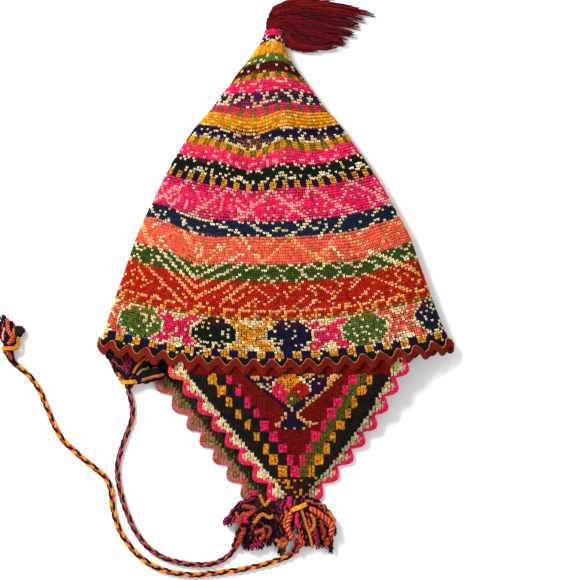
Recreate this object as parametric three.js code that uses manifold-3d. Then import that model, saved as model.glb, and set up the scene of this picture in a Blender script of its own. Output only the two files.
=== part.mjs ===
// Hand-knitted wool hat with ear flaps, tassels and braided ties, lying flat on its back half.
import * as THREE from 'three';
import { mergeVertices } from 'three/addons/utils/BufferGeometryUtils.js';
import Module from 'manifold-3d';

const wasm = await Module();
wasm.setup();

// Plan grid: outlines are measured on a grid seen from above, x to the right and y towards the flaps.
const GRID_MM = 0.76;
const MID_X = 275.5;
const MID_Y = 276.5;

// Cloth and yarn, in mm
const WALL = 3;
const GAP = 0.3;
const TIE_DIAMETER = 4.5;
const TIE_SIDES = 8;
const TIE_STEPS = 28;

// Crown section, in mm: the upper layer is a soft pillow, the lower layer lies flat.
const TURNS = 34;
const PUFF = 1.2;
const FOLD_BASE = 4;
const FOLD_SHARE = 0.15;
const FLAT = 1.5;
const LOWER_SAG = 0.6;

// Crown rows, rim first: plan y of the folded edges, plan x of the left and right fold, height of the
// upper layer, drop of the row's middle towards the rim, clearance under the lower layer (last three mm).
const CROWN_ROWS = [
  // y, left, right, rise, sag, lift
  [345, 101, 450, 30, 16, 2.8],
  [334, 104, 446, 31.5, 16.5, 2.8],
  [322, 107.5, 440.5, 33, 17, 1.2],
  [306, 112.5, 434.5, 35, 17, 0],
  [282, 121.5, 425.5, 36, 17.5, 0],
  [258, 129.5, 417, 36, 18, 0],
  [234, 138, 408.5, 35.5, 17, 0],
  [210, 149, 395, 34.5, 15, 0],
  [186, 160.5, 382, 33, 12.5, 0],
  [162, 173, 366, 31, 9.5, 0],
  [144, 184, 353, 29, 7, 0],
  [126, 196.5, 340.5, 26.5, 4, 0],
  [108, 213, 324, 24, 0, 0],
  [96, 221, 316, 22, -3, 0],
  [84, 231, 307, 20, -6, 0],
  [72, 239, 298, 18, -8, 0],
  [60, 249, 290, 16, -6, 0],
  [50, 256, 286, 14.5, -4, 0],
  [40, 262.5, 283.5, 13.5, -2, 0],
  [31, 265, 281.5, 12.5, -0.5, 0],
];
const HOLLOW_ROWS = 16;

// Soft folds of the upper layer: plan place, reach across and along on the grid, height in mm.
const CROWN_FOLDS = [
  // x, y, across, along, height
  [250, 140, 15, 60, -4.5],
  [286, 132, 12, 60, 2.5],
  [322, 150, 12, 45, -2.5],
  [225, 198, 60, 9, -2],
  [330, 205, 45, 10, -1.5],
  [190, 262, 14, 55, -2],
  [365, 250, 16, 60, -2],
];

// Wavy rim ribbon, in mm
const RIM_WAVES = 40;
const RIM_WAVE_STEPS = 5;
const RIM_SWING = 3;
const RIM_RIBBON = 6;
const RIM_INNER = -0.8;
const RIM_OUTER = -2.6;

// Ear flaps: plan places of the two edges from root to tip, the flap's share from root to tip first.
const FRONT_FLAP = {
  upper: true,
  edges: [
    // share, left x, left y, right x, right y
    [0, 165.3, 358, 409, 354.5],
    [0.4, 211.5, 415, 376.5, 414.5],
    [0.74, 247.8, 460, 344.5, 460],
    [1, 277.5, 497, 312, 497],
  ],
  rest: 6.3,
  edgeRest: 0.8,
  droop: 13,
  fallFrom: 0,
  fallTo: 0.8,
};
const BACK_FLAP = {
  upper: false,
  edges: [
    // share, left x, left y, right x, right y
    [0, 134.5, 350, 385.5, 352.5],
    [0.4, 186, 415, 351.5, 414.5],
    [0.74, 221.5, 460, 319, 460],
    [1, 251, 497, 286, 497],
  ],
  rest: 0.2,
  edgeRest: 0.2,
  droop: 1,
  fallFrom: 0.07,
  fallTo: 0.25,
};
const FLAP_COLUMNS = [0, 0.1, 0.3, 0.5, 0.7, 0.9, 1];
const FLAP_WAVES = 8;
const FLAP_WAVE_STEPS = 4;
const FLAP_WAVE_LAG = 0.75;
const FLAP_SWING = 3.3;
const FLAP_RIBBON = 4;
const FLAP_ROOT_GAP = 0.5;

// Tassels: a neck on the plan and a row per lock of yarn, x and y on the grid, heights and radii in mm.
const LOCK_SIDES = 6;
const LOCK_STEPS = 4;
const NECK_FLAT = 0.66;
const CROWN_TASSEL = {
  neck: [[274.3, 28.7, 6.3, 5.8], [275, 21, 6.6, 6.4]],
  locks: [
    // bend x, bend y, bend z, end x, end y, end z, radius, end radius
    [279, -7, 5.4, 371, 14, 3.4, 5, 2.6],
    [284, 2, 8, 363, 19, 5, 5.2, 3.2],
    [292, 10, 5.6, 357, 27, 4.2, 5.2, 3.2],
    [297, 21, 8, 351, 35, 4.8, 5.2, 3.2],
    [306, 32, 5.6, 345, 43.5, 4.2, 5, 3.2],
    [306, 39, 5.4, 330, 45.5, 4.2, 4.6, 3.4],
    [274, 6, 8, 332, 4, 4.6, 5, 3.6],
  ],
};
const FRONT_TASSEL = {
  neck: [[296, 499, 6, 4.6], [301, 513, 6.4, 4.7]],
  locks: [
    // bend x, bend y, bend z, end x, end y, end z, radius, end radius
    [303, 534, 5, 297, 547.5, 2.7, 4, 2.3],
    [288, 518, 5, 287.5, 540, 4.2, 4.4, 3.4],
    [309, 528, 5, 307.5, 546, 4.2, 4.8, 3.6],
    [317, 526, 5.2, 319, 548, 4.2, 4.8, 3.6],
    [327, 518, 5, 330, 552, 3.8, 4.8, 3.2],
    [330, 511, 5.2, 333, 535, 4.2, 4.6, 3.4],
    [310, 520, 7.4, 312, 540, 5.4, 4.8, 3.6],
  ],
};
const BACK_TASSEL = {
  neck: [[262, 499.3, 4.6, 4.2], [256, 510, 5.4, 4.8]],
  locks: [
    // bend x, bend y, bend z, end x, end y, end z, radius, end radius
    [242, 524, 5, 237, 543, 2.7, 4, 2.3],
    [237, 508, 5, 226, 525, 4.2, 4.8, 3.2],
    [248, 528, 5, 247, 550, 4.2, 4.8, 3.4],
    [258, 530, 5, 258, 549, 4.2, 4.8, 3.6],
    [266, 524, 5.2, 268, 546, 4.2, 4.8, 3.6],
    [272, 512, 5, 276, 534, 4.2, 4.4, 3.2],
    [254, 518, 7.4, 251, 537, 5.4, 4.8, 3.6],
  ],
};
const FRONT_END_TASSEL = {
  neck: [[12.6, 361.6, 3.2, 2.4], [9.5, 352, 5.2, 3.6], [9.5, 344, 5.2, 3.6]],
  locks: [
    // bend x, bend y, bend z, end x, end y, end z, radius, end radius
    [2, 336, 4.4, -2, 322, 3, 3.4, 2.4],
    [7, 334, 7, 4, 315, 3.6, 3.4, 2.4],
    [12, 334, 4.4, 11, 321, 3.2, 3.4, 2.4],
    [18, 334, 5, 20, 326, 3.4, 3.4, 2.8],
  ],
};
const BACK_END_TASSEL = {
  neck: [[128.4, 388, 3.4, 2.4], [129.5, 383.5, 6.2, 4.2], [130, 375.5, 6.8, 4.4]],
  locks: [
    // bend x, bend y, bend z, end x, end y, end z, radius, end radius
    [119, 368, 9, 113, 355, 9.2, 2.9, 2.2],
    [126, 364, 9, 124, 353, 9.4, 2.9, 2.2],
    [134, 364, 9.2, 137, 354, 9.6, 2.9, 2.2],
    [142, 368, 9.2, 150, 358, 9.8, 2.9, 2.2],
    [147, 374, 9.2, 162, 368, 9.8, 2.9, 2.2],
  ],
};

// Yarn bindings: plan place, height, ring radius, yarn radius (mm) and heading on the plan in degrees.
const BINDINGS = {
  flap_front_binding: [298.9, 507, 6.3, 6.2, 1.2, 290],
  tie_front_end_binding: [9.5, 348, 5.2, 4.9, 1, 90],
  tie_back_end_binding: [129.6, 381.6, 6.3, 6, 1, 93],
};
const BINDING_TURNS = 12;
const BINDING_SIDES = 5;
const BINDING_FLAT = 0.8;

// Ties, from the flap's tassel to the end tassel: plan places and heights of the middle of the braid.
const TIE_FRONT = [
  // x, y, z
  [296.2, 549.2, 2.7],
  [290, 555.5, 2.5],
  [268, 563, 2.4],
  [243, 569, 2.4],
  [210, 573.5, 2.4],
  [188, 574.5, 2.4],
  [164, 570, 2.4],
  [146, 561, 2.4],
  [130, 546, 2.4],
  [118, 526, 2.4],
  [112.5, 505, 2.4],
  [110.5, 488, 2.4],
  [104, 475.5, 2.4],
  [92, 465.5, 2.4],
  [76, 452, 2.4],
  [62, 438.5, 2.4],
  [53, 422, 2.4],
  [46, 405, 2.4],
  [40, 391, 2.4],
  [32, 378.5, 2.4],
  [22, 369, 2.5],
  [14.6, 363.2, 3.1],
];
const TIE_BACK = [
  // x, y, z
  [236.8, 543.9, 2.7],
  [231, 553, 2.5],
  [219, 561.5, 2.4],
  [203, 564.5, 2.4],
  [183, 563, 2.4],
  [163, 557, 2.4],
  [147, 546, 2.4],
  [135, 530, 2.4],
  [126, 510, 2.4],
  [120, 490, 2.4],
  [117.5, 470, 2.4],
  [120, 454, 2.4],
  [126, 436, 2.4],
  [132, 419, 2.4],
  [132, 404, 2.4],
  [129.5, 394, 2.8],
  [128.5, 390, 3.3],
];

// Wool colours
const COLOURS = {
  crown: 0xd8345c,
  rim: 0x8a1410,
  flap: 0x7a1010,
  pink: 0xe2286a,
  maroon: 0x5a0a0c,
  mixed: 0x2a2030,
  orange: 0xd8801e,
  braid: 0x6a3a24,
};

function plan(x, y, z) {
  return new THREE.Vector3((x - MID_X) * GRID_MM, (MID_Y - y) * GRID_MM, z);
}

// The row of a table at a value of its first column, between the two nearest rows.
function rowAt(table, value) {
  const rising = table[table.length - 1][0] > table[0][0];
  let next = table.findIndex((row) => (rising ? row[0] >= value : row[0] <= value));
  next = next < 0 ? table.length - 1 : Math.max(next, 1);
  const [before, after] = [table[next - 1], table[next]];
  const share = (value - before[0]) / (after[0] - before[0]);
  return before.map((number, i) => THREE.MathUtils.lerp(number, after[i], share));
}

// A closed body through rings of points. Ends are closed as ladders, an endless body joins up instead.
function loft(rings, endless = false) {
  const around = rings[0].length;
  const points = rings.flat();
  const faces = [];
  const last = endless ? rings.length : rings.length - 1;
  for (let r = 0; r < last; r += 1) {
    const here = r * around;
    const there = ((r + 1) % rings.length) * around;
    for (let i = 0; i < around; i += 1) {
      const j = (i + 1) % around;
      faces.push([here + i, here + j, there + j], [here + i, there + j, there + i]);
    }
  }
  if (!endless) {
    const far = (rings.length - 1) * around;
    for (let i = 0; i < around / 2 - 1; i += 1) {
      const j = around - 1 - i;
      faces.push([i, j, j - 1], [i, j - 1, i + 1]);
      faces.push([far + i, far + j - 1, far + j], [far + i, far + i + 1, far + j - 1]);
    }
  }
  return solid(points, faces);
}

// A geometry from points and faces with its faces turned outward.
function solid(points, faces) {
  const volume = faces.reduce((sum, [a, b, c]) => {
    const normal = new THREE.Vector3().crossVectors(points[b], points[c]);
    return sum + points[a].dot(normal);
  }, 0);
  const order = volume > 0 ? faces : faces.map(([a, b, c]) => [a, c, b]);
  const geometry = new THREE.BufferGeometry().setFromPoints(points);
  geometry.setIndex(order.flat());
  return geometry;
}

function creaseHeight(x, y) {
  return CROWN_FOLDS.reduce((sum, [foldX, foldY, across, along, height]) => {
    const away = ((x - foldX) / across) ** 2 + ((y - foldY) / along) ** 2;
    return sum + height * Math.exp(-away);
  }, 0);
}

// A point of the crown's wall: turn 0 is the right fold, a quarter turn the middle of the upper layer.
function crownPoint(row, turn, inset) {
  const [y, left, right, rise, sag, lift] = row;
  const across = Math.abs(Math.sin(turn));
  const upper = Math.sin(turn) >= 0;
  const half = (right - left) / 2 - inset / GRID_MM;
  const planX = (left + right) / 2 + half * Math.cos(turn);
  const planY = y + (sag * across ** 2 * (upper ? 1 : LOWER_SAG)) / GRID_MM;
  const fold = FOLD_BASE + FOLD_SHARE * rise;
  const base = lift + inset;
  const bend = fold - base;
  const puffed = fold + (rise - inset - fold) * across ** PUFF;
  const upperZ = puffed + creaseHeight(planX, planY) * across;
  const lowerZ = base + Math.max(0, bend - (bend + FLAT) * Math.sqrt(across));
  return plan(planX, planY, upper ? upperZ : lowerZ);
}

function crownRing(row, inset) {
  return Array.from({ length: TURNS }, (_, i) => crownPoint(row, ((i + 0.5) * 2 * Math.PI) / TURNS, inset));
}

function makeCrown() {
  const outside = CROWN_ROWS.map((row) => crownRing(row, 0)).reverse();
  const inside = CROWN_ROWS.slice(0, HOLLOW_ROWS).map((row) => crownRing(row, WALL));
  return loft([...outside, ...inside]);
}

// A point on the crown's rim or up to a ribbon's width above or below it, height along the wall in mm.
function rimPoint(turn, height, inset) {
  const rim = CROWN_ROWS[0];
  if (height > 0) {
    return crownPoint(rowAt(CROWN_ROWS, rim[0] - height / GRID_MM), turn, inset);
  }
  return crownPoint([rim[0] - height / GRID_MM, ...rim.slice(1)], turn, inset);
}

// Turns at equal lengths along the rim
function evenRimTurns(count) {
  const fine = 1440;
  const turns = Array.from({ length: fine + 1 }, (_, i) => (i * 2 * Math.PI) / fine);
  const rim = new THREE.CatmullRomCurve3();
  rim.points = turns.map((turn) => rimPoint(turn, 0, 0));
  const lengths = [0];
  for (let i = 1; i <= fine; i += 1) {
    lengths.push(lengths[i - 1] + rim.points[i].distanceTo(rim.points[i - 1]));
  }
  const table = lengths.map((length, i) => [length, turns[i]]);
  return Array.from({ length: count }, (_, i) => rowAt(table, (lengths[fine] * i) / count)[1]);
}

function makeRimEdging() {
  const half = RIM_RIBBON / 2;
  const rings = evenRimTurns(RIM_WAVES * RIM_WAVE_STEPS).map((turn, i) => {
    const middle = RIM_SWING * Math.sin((2 * Math.PI * i) / RIM_WAVE_STEPS);
    return [
      rimPoint(turn, middle - half, RIM_INNER),
      rimPoint(turn, middle + half, RIM_INNER),
      rimPoint(turn, middle + half, RIM_OUTER),
      rimPoint(turn, middle - half, RIM_OUTER),
    ];
  });
  return loft(rings, true);
}

// Underside of the crown's rim wall at a plan x, on the flap's layer
function rimUnderside(x, upper) {
  const [, left, right] = CROWN_ROWS[0];
  const cosine = THREE.MathUtils.clamp((2 * x - left - right) / (right - left), -1, 1);
  const turn = Math.acos(cosine) * (upper ? 1 : -1);
  const point = crownPoint(CROWN_ROWS[0], turn, 0);
  return { y: MID_Y - point.y / GRID_MM, z: point.z - (upper ? WALL : 0) };
}

// A point of a flap: across from its left to its right edge, share from root to tip, out past an edge in
// mm (to the left of the left edge, to the right of the right one), height above its underside.
function flapPoint(flap, across, share, out, height) {
  const [, leftX, leftY, rightX, rightY] = rowAt(flap.edges, share);
  const [, rootLeft, rootLeftY, rootRight, rootRightY] = flap.edges[0];
  const tip = flap.edges[flap.edges.length - 1];
  const atLeft = across < 0.5;
  const run = atLeft
    ? new THREE.Vector2(tip[1] - rootLeft, tip[2] - rootLeftY)
    : new THREE.Vector2(tip[3] - rootRight, tip[4] - rootRightY);
  const away = new THREE.Vector2(run.y, -run.x).normalize().multiplyScalar((atLeft ? -1 : 1) * (out / GRID_MM));
  const width = Math.hypot(rightX - leftX, rightY - leftY) * GRID_MM;
  const reach = across + ((atLeft ? -1 : 1) * out) / width;
  const rootX = THREE.MathUtils.lerp(rootLeft, rootRight, reach);
  const root = rimUnderside(rootX, flap.upper);
  const chordY = THREE.MathUtils.lerp(rootLeftY, rootRightY, reach);
  const x = THREE.MathUtils.lerp(leftX, rightX, across) + away.x;
  const fallY = THREE.MathUtils.lerp(leftY, rightY, across) + away.y + (root.y - chordY) * (1 - share);
  const y = Math.max(fallY, rimUnderside(x, flap.upper).y) + FLAP_ROOT_GAP / GRID_MM;
  const inward = THREE.MathUtils.clamp((1 - reach) * width, 0, flap.droop);
  const settle = THREE.MathUtils.smoothstep(inward, 0, flap.droop);
  const restZ = THREE.MathUtils.lerp(flap.edgeRest, flap.rest, settle);
  const fallen = THREE.MathUtils.smoothstep(share, flap.fallFrom, flap.fallTo);
  const z = THREE.MathUtils.lerp(root.z, restZ, fallen);
  return plan(x, y, z + height);
}

function flapWave(share) {
  return FLAP_SWING * Math.cos(2 * Math.PI * (FLAP_WAVES * share - FLAP_WAVE_LAG));
}

function flapShares() {
  const steps = FLAP_WAVES * FLAP_WAVE_STEPS;
  return Array.from({ length: steps + 1 }, (_, i) => i / steps);
}

// The knitted face of a flap, its edges following the inner side of the wavy ribbons
function makeFlap(flap) {
  const rings = flapShares().map((share) => {
    const edge = flapWave(share) - FLAP_RIBBON / 2 - GAP;
    const point = (across, height) => flapPoint(flap, across, share, edge * Math.abs(1 - 2 * across), height);
    const over = FLAP_COLUMNS.map((across) => point(across, WALL));
    const under = FLAP_COLUMNS.map((across) => point(across, 0)).reverse();
    return [...over, ...under];
  });
  return loft(rings);
}

// The wavy ribbon on one edge of a flap, from under the rim's ribbon to the tip
function makeFlapEdging(flap, across) {
  const rings = flapShares().slice(1).map((share) => {
    const inner = flapWave(share) - FLAP_RIBBON / 2;
    const outer = flapWave(share) + FLAP_RIBBON / 2;
    return [
      flapPoint(flap, across, share, inner, 0),
      flapPoint(flap, across, share, outer, 0),
      flapPoint(flap, across, share, outer, WALL),
      flapPoint(flap, across, share, inner, WALL),
    ];
  });
  return loft(rings);
}

// Rings of a strand along a curve, its radius changing on the way, flattened in height
function strandRings(curve, steps, sides, radiusAt, flat = 1) {
  return Array.from({ length: steps + 1 }, (_, i) => {
    const share = i / steps;
    const middle = curve.getPoint(share);
    const along = curve.getTangent(share);
    const side = new THREE.Vector3(0, 0, 1).cross(along).normalize();
    const up = new THREE.Vector3().crossVectors(along, side);
    return Array.from({ length: sides }, (__, k) => {
      const angle = (2 * Math.PI * (k + 0.5)) / sides;
      const round = side.clone().multiplyScalar(Math.cos(angle)).addScaledVector(up, flat * Math.sin(angle));
      return middle.clone().addScaledVector(round, radiusAt(share));
    });
  });
}

function asManifold(geometry) {
  return new wasm.Manifold(new wasm.Mesh({
    numProp: 3,
    vertProperties: new Float32Array(geometry.attributes.position.array),
    triVerts: new Uint32Array(geometry.index.array),
  }));
}

// A tassel's neck and locks of yarn, joined into one body
function makeTassel({ neck, locks }) {
  const neckCurve = new THREE.CatmullRomCurve3(neck.map(([x, y, z]) => plan(x, y, z)));
  const neckRadius = (share) => {
    const at = share * (neck.length - 1);
    const before = Math.min(Math.floor(at), neck.length - 2);
    return THREE.MathUtils.lerp(neck[before][3], neck[before + 1][3], at - before);
  };
  const neckSteps = (neck.length - 1) * 2;
  let body = asManifold(loft(strandRings(neckCurve, neckSteps, LOCK_SIDES + 2, neckRadius, NECK_FLAT)));
  const [rootX, rootY, rootZ] = neck[neck.length - 1];
  for (const [bendX, bendY, bendZ, endX, endY, endZ, radius, endRadius] of locks) {
    const start = plan(rootX, rootY, rootZ).lerp(plan(bendX, bendY, bendZ), 0.04);
    const curve = new THREE.QuadraticBezierCurve3(start, plan(bendX, bendY, bendZ), plan(endX, endY, endZ));
    const radiusAt = (share) => THREE.MathUtils.lerp(radius, endRadius, share);
    body = body.add(asManifold(loft(strandRings(curve, LOCK_STEPS, LOCK_SIDES, radiusAt))));
  }
  return outerSkin(body.getMesh());
}

// The outer skin of a joined body: pockets closed in between its locks are filled.
function outerSkin({ vertProperties, triVerts }) {
  const link = Array.from({ length: vertProperties.length / 3 }, (_, i) => i);
  const rootOf = (i) => {
    let at = i;
    while (link[at] !== at) at = link[at];
    return at;
  };
  for (let t = 0; t < triVerts.length; t += 3) {
    link[rootOf(triVerts[t + 1])] = rootOf(triVerts[t]);
    link[rootOf(triVerts[t + 2])] = rootOf(triVerts[t]);
  }
  const points = link.map((_, i) => new THREE.Vector3().fromArray(vertProperties, 3 * i));
  const skins = new Map();
  for (let t = 0; t < triVerts.length; t += 3) {
    const root = rootOf(triVerts[t]);
    skins.set(root, [...(skins.get(root) ?? []), [...triVerts.slice(t, t + 3)]]);
  }
  const largest = [...skins.values()].sort((a, b) => b.length - a.length)[0];
  const used = [...new Set(largest.flat())];
  const place = new Map(used.map((index, i) => [index, i]));
  return solid(used.map((i) => points[i]), largest.map((face) => face.map((i) => place.get(i))));
}

// A ring of wound yarn round a tassel's neck
function makeBinding([x, y, z, ringRadius, yarnRadius, heading]) {
  const middle = plan(x, y, z);
  const angle = THREE.MathUtils.degToRad(heading);
  const along = new THREE.Vector3(Math.cos(angle), Math.sin(angle), 0);
  const side = new THREE.Vector3(-Math.sin(angle), Math.cos(angle), 0);
  const rings = Array.from({ length: BINDING_TURNS }, (_, i) => {
    const turn = (2 * Math.PI * i) / BINDING_TURNS;
    const outward = side.clone().multiplyScalar(Math.cos(turn));
    outward.z = Math.sin(turn);
    const strand = middle.clone().addScaledVector(outward, ringRadius);
    strand.z = middle.z + (strand.z - middle.z) * BINDING_FLAT;
    return Array.from({ length: BINDING_SIDES }, (__, k) => {
      const roll = (2 * Math.PI * k) / BINDING_SIDES;
      return strand
        .clone()
        .addScaledVector(outward, yarnRadius * Math.cos(roll))
        .addScaledVector(along, 1.6 * yarnRadius * Math.sin(roll));
    });
  });
  return loft(rings, true);
}

function makeTie(places) {
  const section = new THREE.Shape();
  for (let i = 0; i < TIE_SIDES; i += 1) {
    const angle = (2 * Math.PI * i) / TIE_SIDES;
    const x = (TIE_DIAMETER / 2) * Math.cos(angle);
    const y = (TIE_DIAMETER / 2) * Math.sin(angle);
    if (i === 0) section.moveTo(x, y);
    else section.lineTo(x, y);
  }
  const path = new THREE.CatmullRomCurve3(places.map(([x, y, z]) => plan(x, y, z)));
  return new THREE.ExtrudeGeometry(section, { steps: TIE_STEPS, extrudePath: path });
}

const group = new THREE.Group();

function addPiece(name, geometry, color) {
  geometry.deleteAttribute('normal');
  geometry.deleteAttribute('uv');
  const merged = mergeVertices(geometry, 1e-4);
  merged.computeVertexNormals();
  const material = new THREE.MeshStandardMaterial({ color, roughness: 0.95, metalness: 0 });
  const mesh = new THREE.Mesh(merged, material);
  mesh.name = name;
  group.add(mesh);
}

addPiece('crown', makeCrown(), COLOURS.crown);
addPiece('rim_edging', makeRimEdging(), COLOURS.rim);
addPiece('flap_front', makeFlap(FRONT_FLAP), COLOURS.flap);
addPiece('flap_front_edging_left', makeFlapEdging(FRONT_FLAP, 0), COLOURS.pink);
addPiece('flap_front_edging_right', makeFlapEdging(FRONT_FLAP, 1), COLOURS.pink);
addPiece('flap_back', makeFlap(BACK_FLAP), COLOURS.flap);
addPiece('flap_back_edging_left', makeFlapEdging(BACK_FLAP, 0), COLOURS.pink);
addPiece('flap_back_edging_right', makeFlapEdging(BACK_FLAP, 1), COLOURS.pink);
addPiece('crown_tassel', makeTassel(CROWN_TASSEL), COLOURS.maroon);
addPiece('flap_front_tassel', makeTassel(FRONT_TASSEL), COLOURS.mixed);
addPiece('flap_back_tassel', makeTassel(BACK_TASSEL), COLOURS.mixed);
addPiece('tie_front', makeTie(TIE_FRONT), COLOURS.braid);
addPiece('tie_front_end_tassel', makeTassel(FRONT_END_TASSEL), COLOURS.mixed);
addPiece('tie_back', makeTie(TIE_BACK), COLOURS.braid);
addPiece('tie_back_end_tassel', makeTassel(BACK_END_TASSEL), COLOURS.mixed);
for (const [name, sizes] of Object.entries(BINDINGS)) {
  addPiece(name, makeBinding(sizes), COLOURS.orange);
}

export default group;
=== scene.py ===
import math

import bpy
import numpy as np
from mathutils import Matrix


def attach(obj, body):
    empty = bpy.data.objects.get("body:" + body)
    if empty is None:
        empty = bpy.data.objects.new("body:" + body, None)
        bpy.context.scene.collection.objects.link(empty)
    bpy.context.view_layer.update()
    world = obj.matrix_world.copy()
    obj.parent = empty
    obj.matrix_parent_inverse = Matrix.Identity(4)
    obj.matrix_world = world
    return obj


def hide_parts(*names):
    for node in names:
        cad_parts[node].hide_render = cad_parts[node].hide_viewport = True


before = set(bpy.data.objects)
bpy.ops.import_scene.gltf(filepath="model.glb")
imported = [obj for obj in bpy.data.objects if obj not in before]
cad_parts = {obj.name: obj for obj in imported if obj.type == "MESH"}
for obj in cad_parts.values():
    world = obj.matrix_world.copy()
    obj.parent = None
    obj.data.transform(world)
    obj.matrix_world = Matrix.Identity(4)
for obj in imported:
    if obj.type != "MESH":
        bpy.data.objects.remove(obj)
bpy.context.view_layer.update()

rng = np.random.default_rng(7)

# Plan grid: outlines lie on a grid seen from above, x to the right and y towards the flaps.
MM = 0.001
GRID_MM = 0.76
MID_X = 275.5
MID_Y = 276.5

# Camera: straight above, a square view of the whole hat
VIEW_GRID = 580
VIEW_CENTRE = (290, 290)
CAMERA_HEIGHT = 3.0
SENSOR_MM = 36.0

# Cloth and yarn, in mm
WALL = 3.0
WALE = 2.3
BACKING_INSET = 0.75
STITCH_INSET = 0.45
STITCH_RISE = 0.62
STITCH_JITTER = 0.1
STITCH_DRIFT = 0.09
STITCH_LEAN = 0.06
SHADE_JITTER = 0.2
BRAID_PITCH = 17.0
BRAID_SWING = 1.15
BRAID_DEPTH = 0.75
BRAID_YARN = 0.68
BRAID_YARN_GAP = 0.46
BRAID_STEP = 1.0
BRAID_SIDES = 5
ROUTE_STEPS = 400

# Crown section, in mm: the upper layer is a soft pillow, the lower layer lies flat.
PUFF = 1.2
FOLD_BASE = 4.0
FOLD_SHARE = 0.15
FLAT = 1.5
LOWER_SAG = 0.6
LEVEL_BLUR = 9
WALL_TURNS = 120
WALL_ROWS = 60
HOLLOW_TOP = 72.0
# Painted shade: the backing seen between the stitches at half its yarn colour, the crown's hollow at a
# quarter
BACKING_PAINTED_SHADE = 0.5
HOLLOW_PAINTED_SHADE = 0.25

# Crown rows from tip to rim: plan y of the folded edges, plan x of the left and right fold, then mm
CROWN_ROWS = np.array([
    # y, left, right, rise, sag, lift
    [31, 265, 281.5, 12.5, -0.5, 0],
    [40, 262.5, 283.5, 13.5, -2, 0],
    [50, 256, 286, 14.5, -4, 0],
    [60, 249, 290, 16, -6, 0],
    [72, 239, 298, 18, -8, 0],
    [84, 231, 307, 20, -6, 0],
    [96, 221, 316, 22, -3, 0],
    [108, 213, 324, 24, 0, 0],
    [126, 196.5, 340.5, 26.5, 4, 0],
    [144, 184, 353, 29, 7, 0],
    [162, 173, 366, 31, 9.5, 0],
    [186, 160.5, 382, 33, 12.5, 0],
    [210, 149, 395, 34.5, 15, 0],
    [234, 138, 408.5, 35.5, 17, 0],
    [258, 129.5, 417, 36, 18, 0],
    [282, 121.5, 425.5, 36, 17.5, 0],
    [306, 112.5, 434.5, 35, 17, 0],
    [322, 107.5, 440.5, 33, 17, 1.2],
    [334, 104, 446, 31.5, 16.5, 2.8],
    [345, 101, 450, 30, 16, 2.8],
])
TIP_LEVEL = CROWN_ROWS[0, 0]
RIM_LEVEL = CROWN_ROWS[-1, 0]

# Soft folds of the upper layer: plan place, reach across and along, height in mm
CROWN_FOLDS = [
    # x, y, across, along, height
    (250, 140, 15, 60, -4.5),
    (286, 132, 12, 60, 2.5),
    (322, 150, 12, 45, -2.5),
    (225, 198, 60, 9, -2),
    (330, 205, 45, 10, -1.5),
    (190, 262, 14, 55, -2),
    (365, 250, 16, 60, -2),
]

# Where the folds draw the courses up or down on the upper layer: plan place, reach, shift on the grid
COURSE_SHIFTS = [
    # x, y, across, along, shift
    (250, 145, 22, 44, -7.5),
    (286, 135, 14, 45, 3),
    (316, 150, 24, 30, -4),
    (200, 248, 26, 34, -7),
    (158, 232, 20, 30, 5),
    (358, 255, 24, 26, -5.5),
    (412, 248, 14, 26, 3),
    (258, 50, 10, 22, -3),
    (288, 56, 9, 20, 2),
]

# Yarn colours as sRGB hex
YARNS = {
    "P": "#e41f59",
    "H": "#ee9a94",
    "C": "#e86046",
    "O": "#d98d14",
    "Y": "#ecbc58",
    "N": "#150e34",
    "S": "#15203a",
    "G": "#3a4a12",
    "L": "#566a22",
    "V": "#555a16",
    "K": "#0d160e",
    "R": "#b01a08",
    "D": "#7a0802",
    "M": "#4a060c",
    "A": "#e6a862",
    "W": "#e2cd9c",
    "B": "#0b0b0f",
    "T": "#8c6e42",
    "J": "#b8452f",
    "U": "#b8185c",
    "X": "#dd7414",
    "E": "#97321c",
    "F": "#bb6068",
    "Z": "#6b0408",
    "Q": "#781807",
    "I": "#a9582c",
}

# Bold figures of the widest band: ovals and crosses take their colours in turn round the hat.
FIGURE_COLOURS = "NPLCSPKONCLPKCLPKO"
FIGURE_PAIR = 26
OVAL_MIDDLE = 6
CROSS_MIDDLE = 19
OVAL_HALF = (3, 4, 5, 6, 7, 7, 7, 7, 7, 6, 5, 4, 3)
CROSS_FROM = (4, 3, 2, 0, 0, 0, 0, 0, 0, 0, 2, 3, 4)
CROSS_TO = (7, 7, 6, 5, 4, 4, 4, 4, 4, 5, 6, 7, 7)


def figure_chart():
    """Courses of an oval and a cross that reach into each other's width"""
    rows = []
    for half, inner, outer in zip(OVAL_HALF, CROSS_FROM, CROSS_TO):
        row = ["."] * FIGURE_PAIR
        for i in range(-outer, outer + 1):
            if abs(i) >= inner:
                row[(CROSS_MIDDLE + i) % FIGURE_PAIR] = "x"
        for i in range(-half, half + 1):
            row[(OVAL_MIDDLE + i) % FIGURE_PAIR] = "o"
        rows.append("".join(row))
    return rows


FIGURES = figure_chart()


def lattice(ground, line, width, courses):
    """Courses of a ground colour crossed by lines that step one stitch a course both ways"""
    rows = []
    for course in range(courses):
        row = [ground] * width
        row[course % width] = line
        row[(course + 1) % width] = line
        row[-course % width] = line
        rows.append("".join(row))
    return rows


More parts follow.
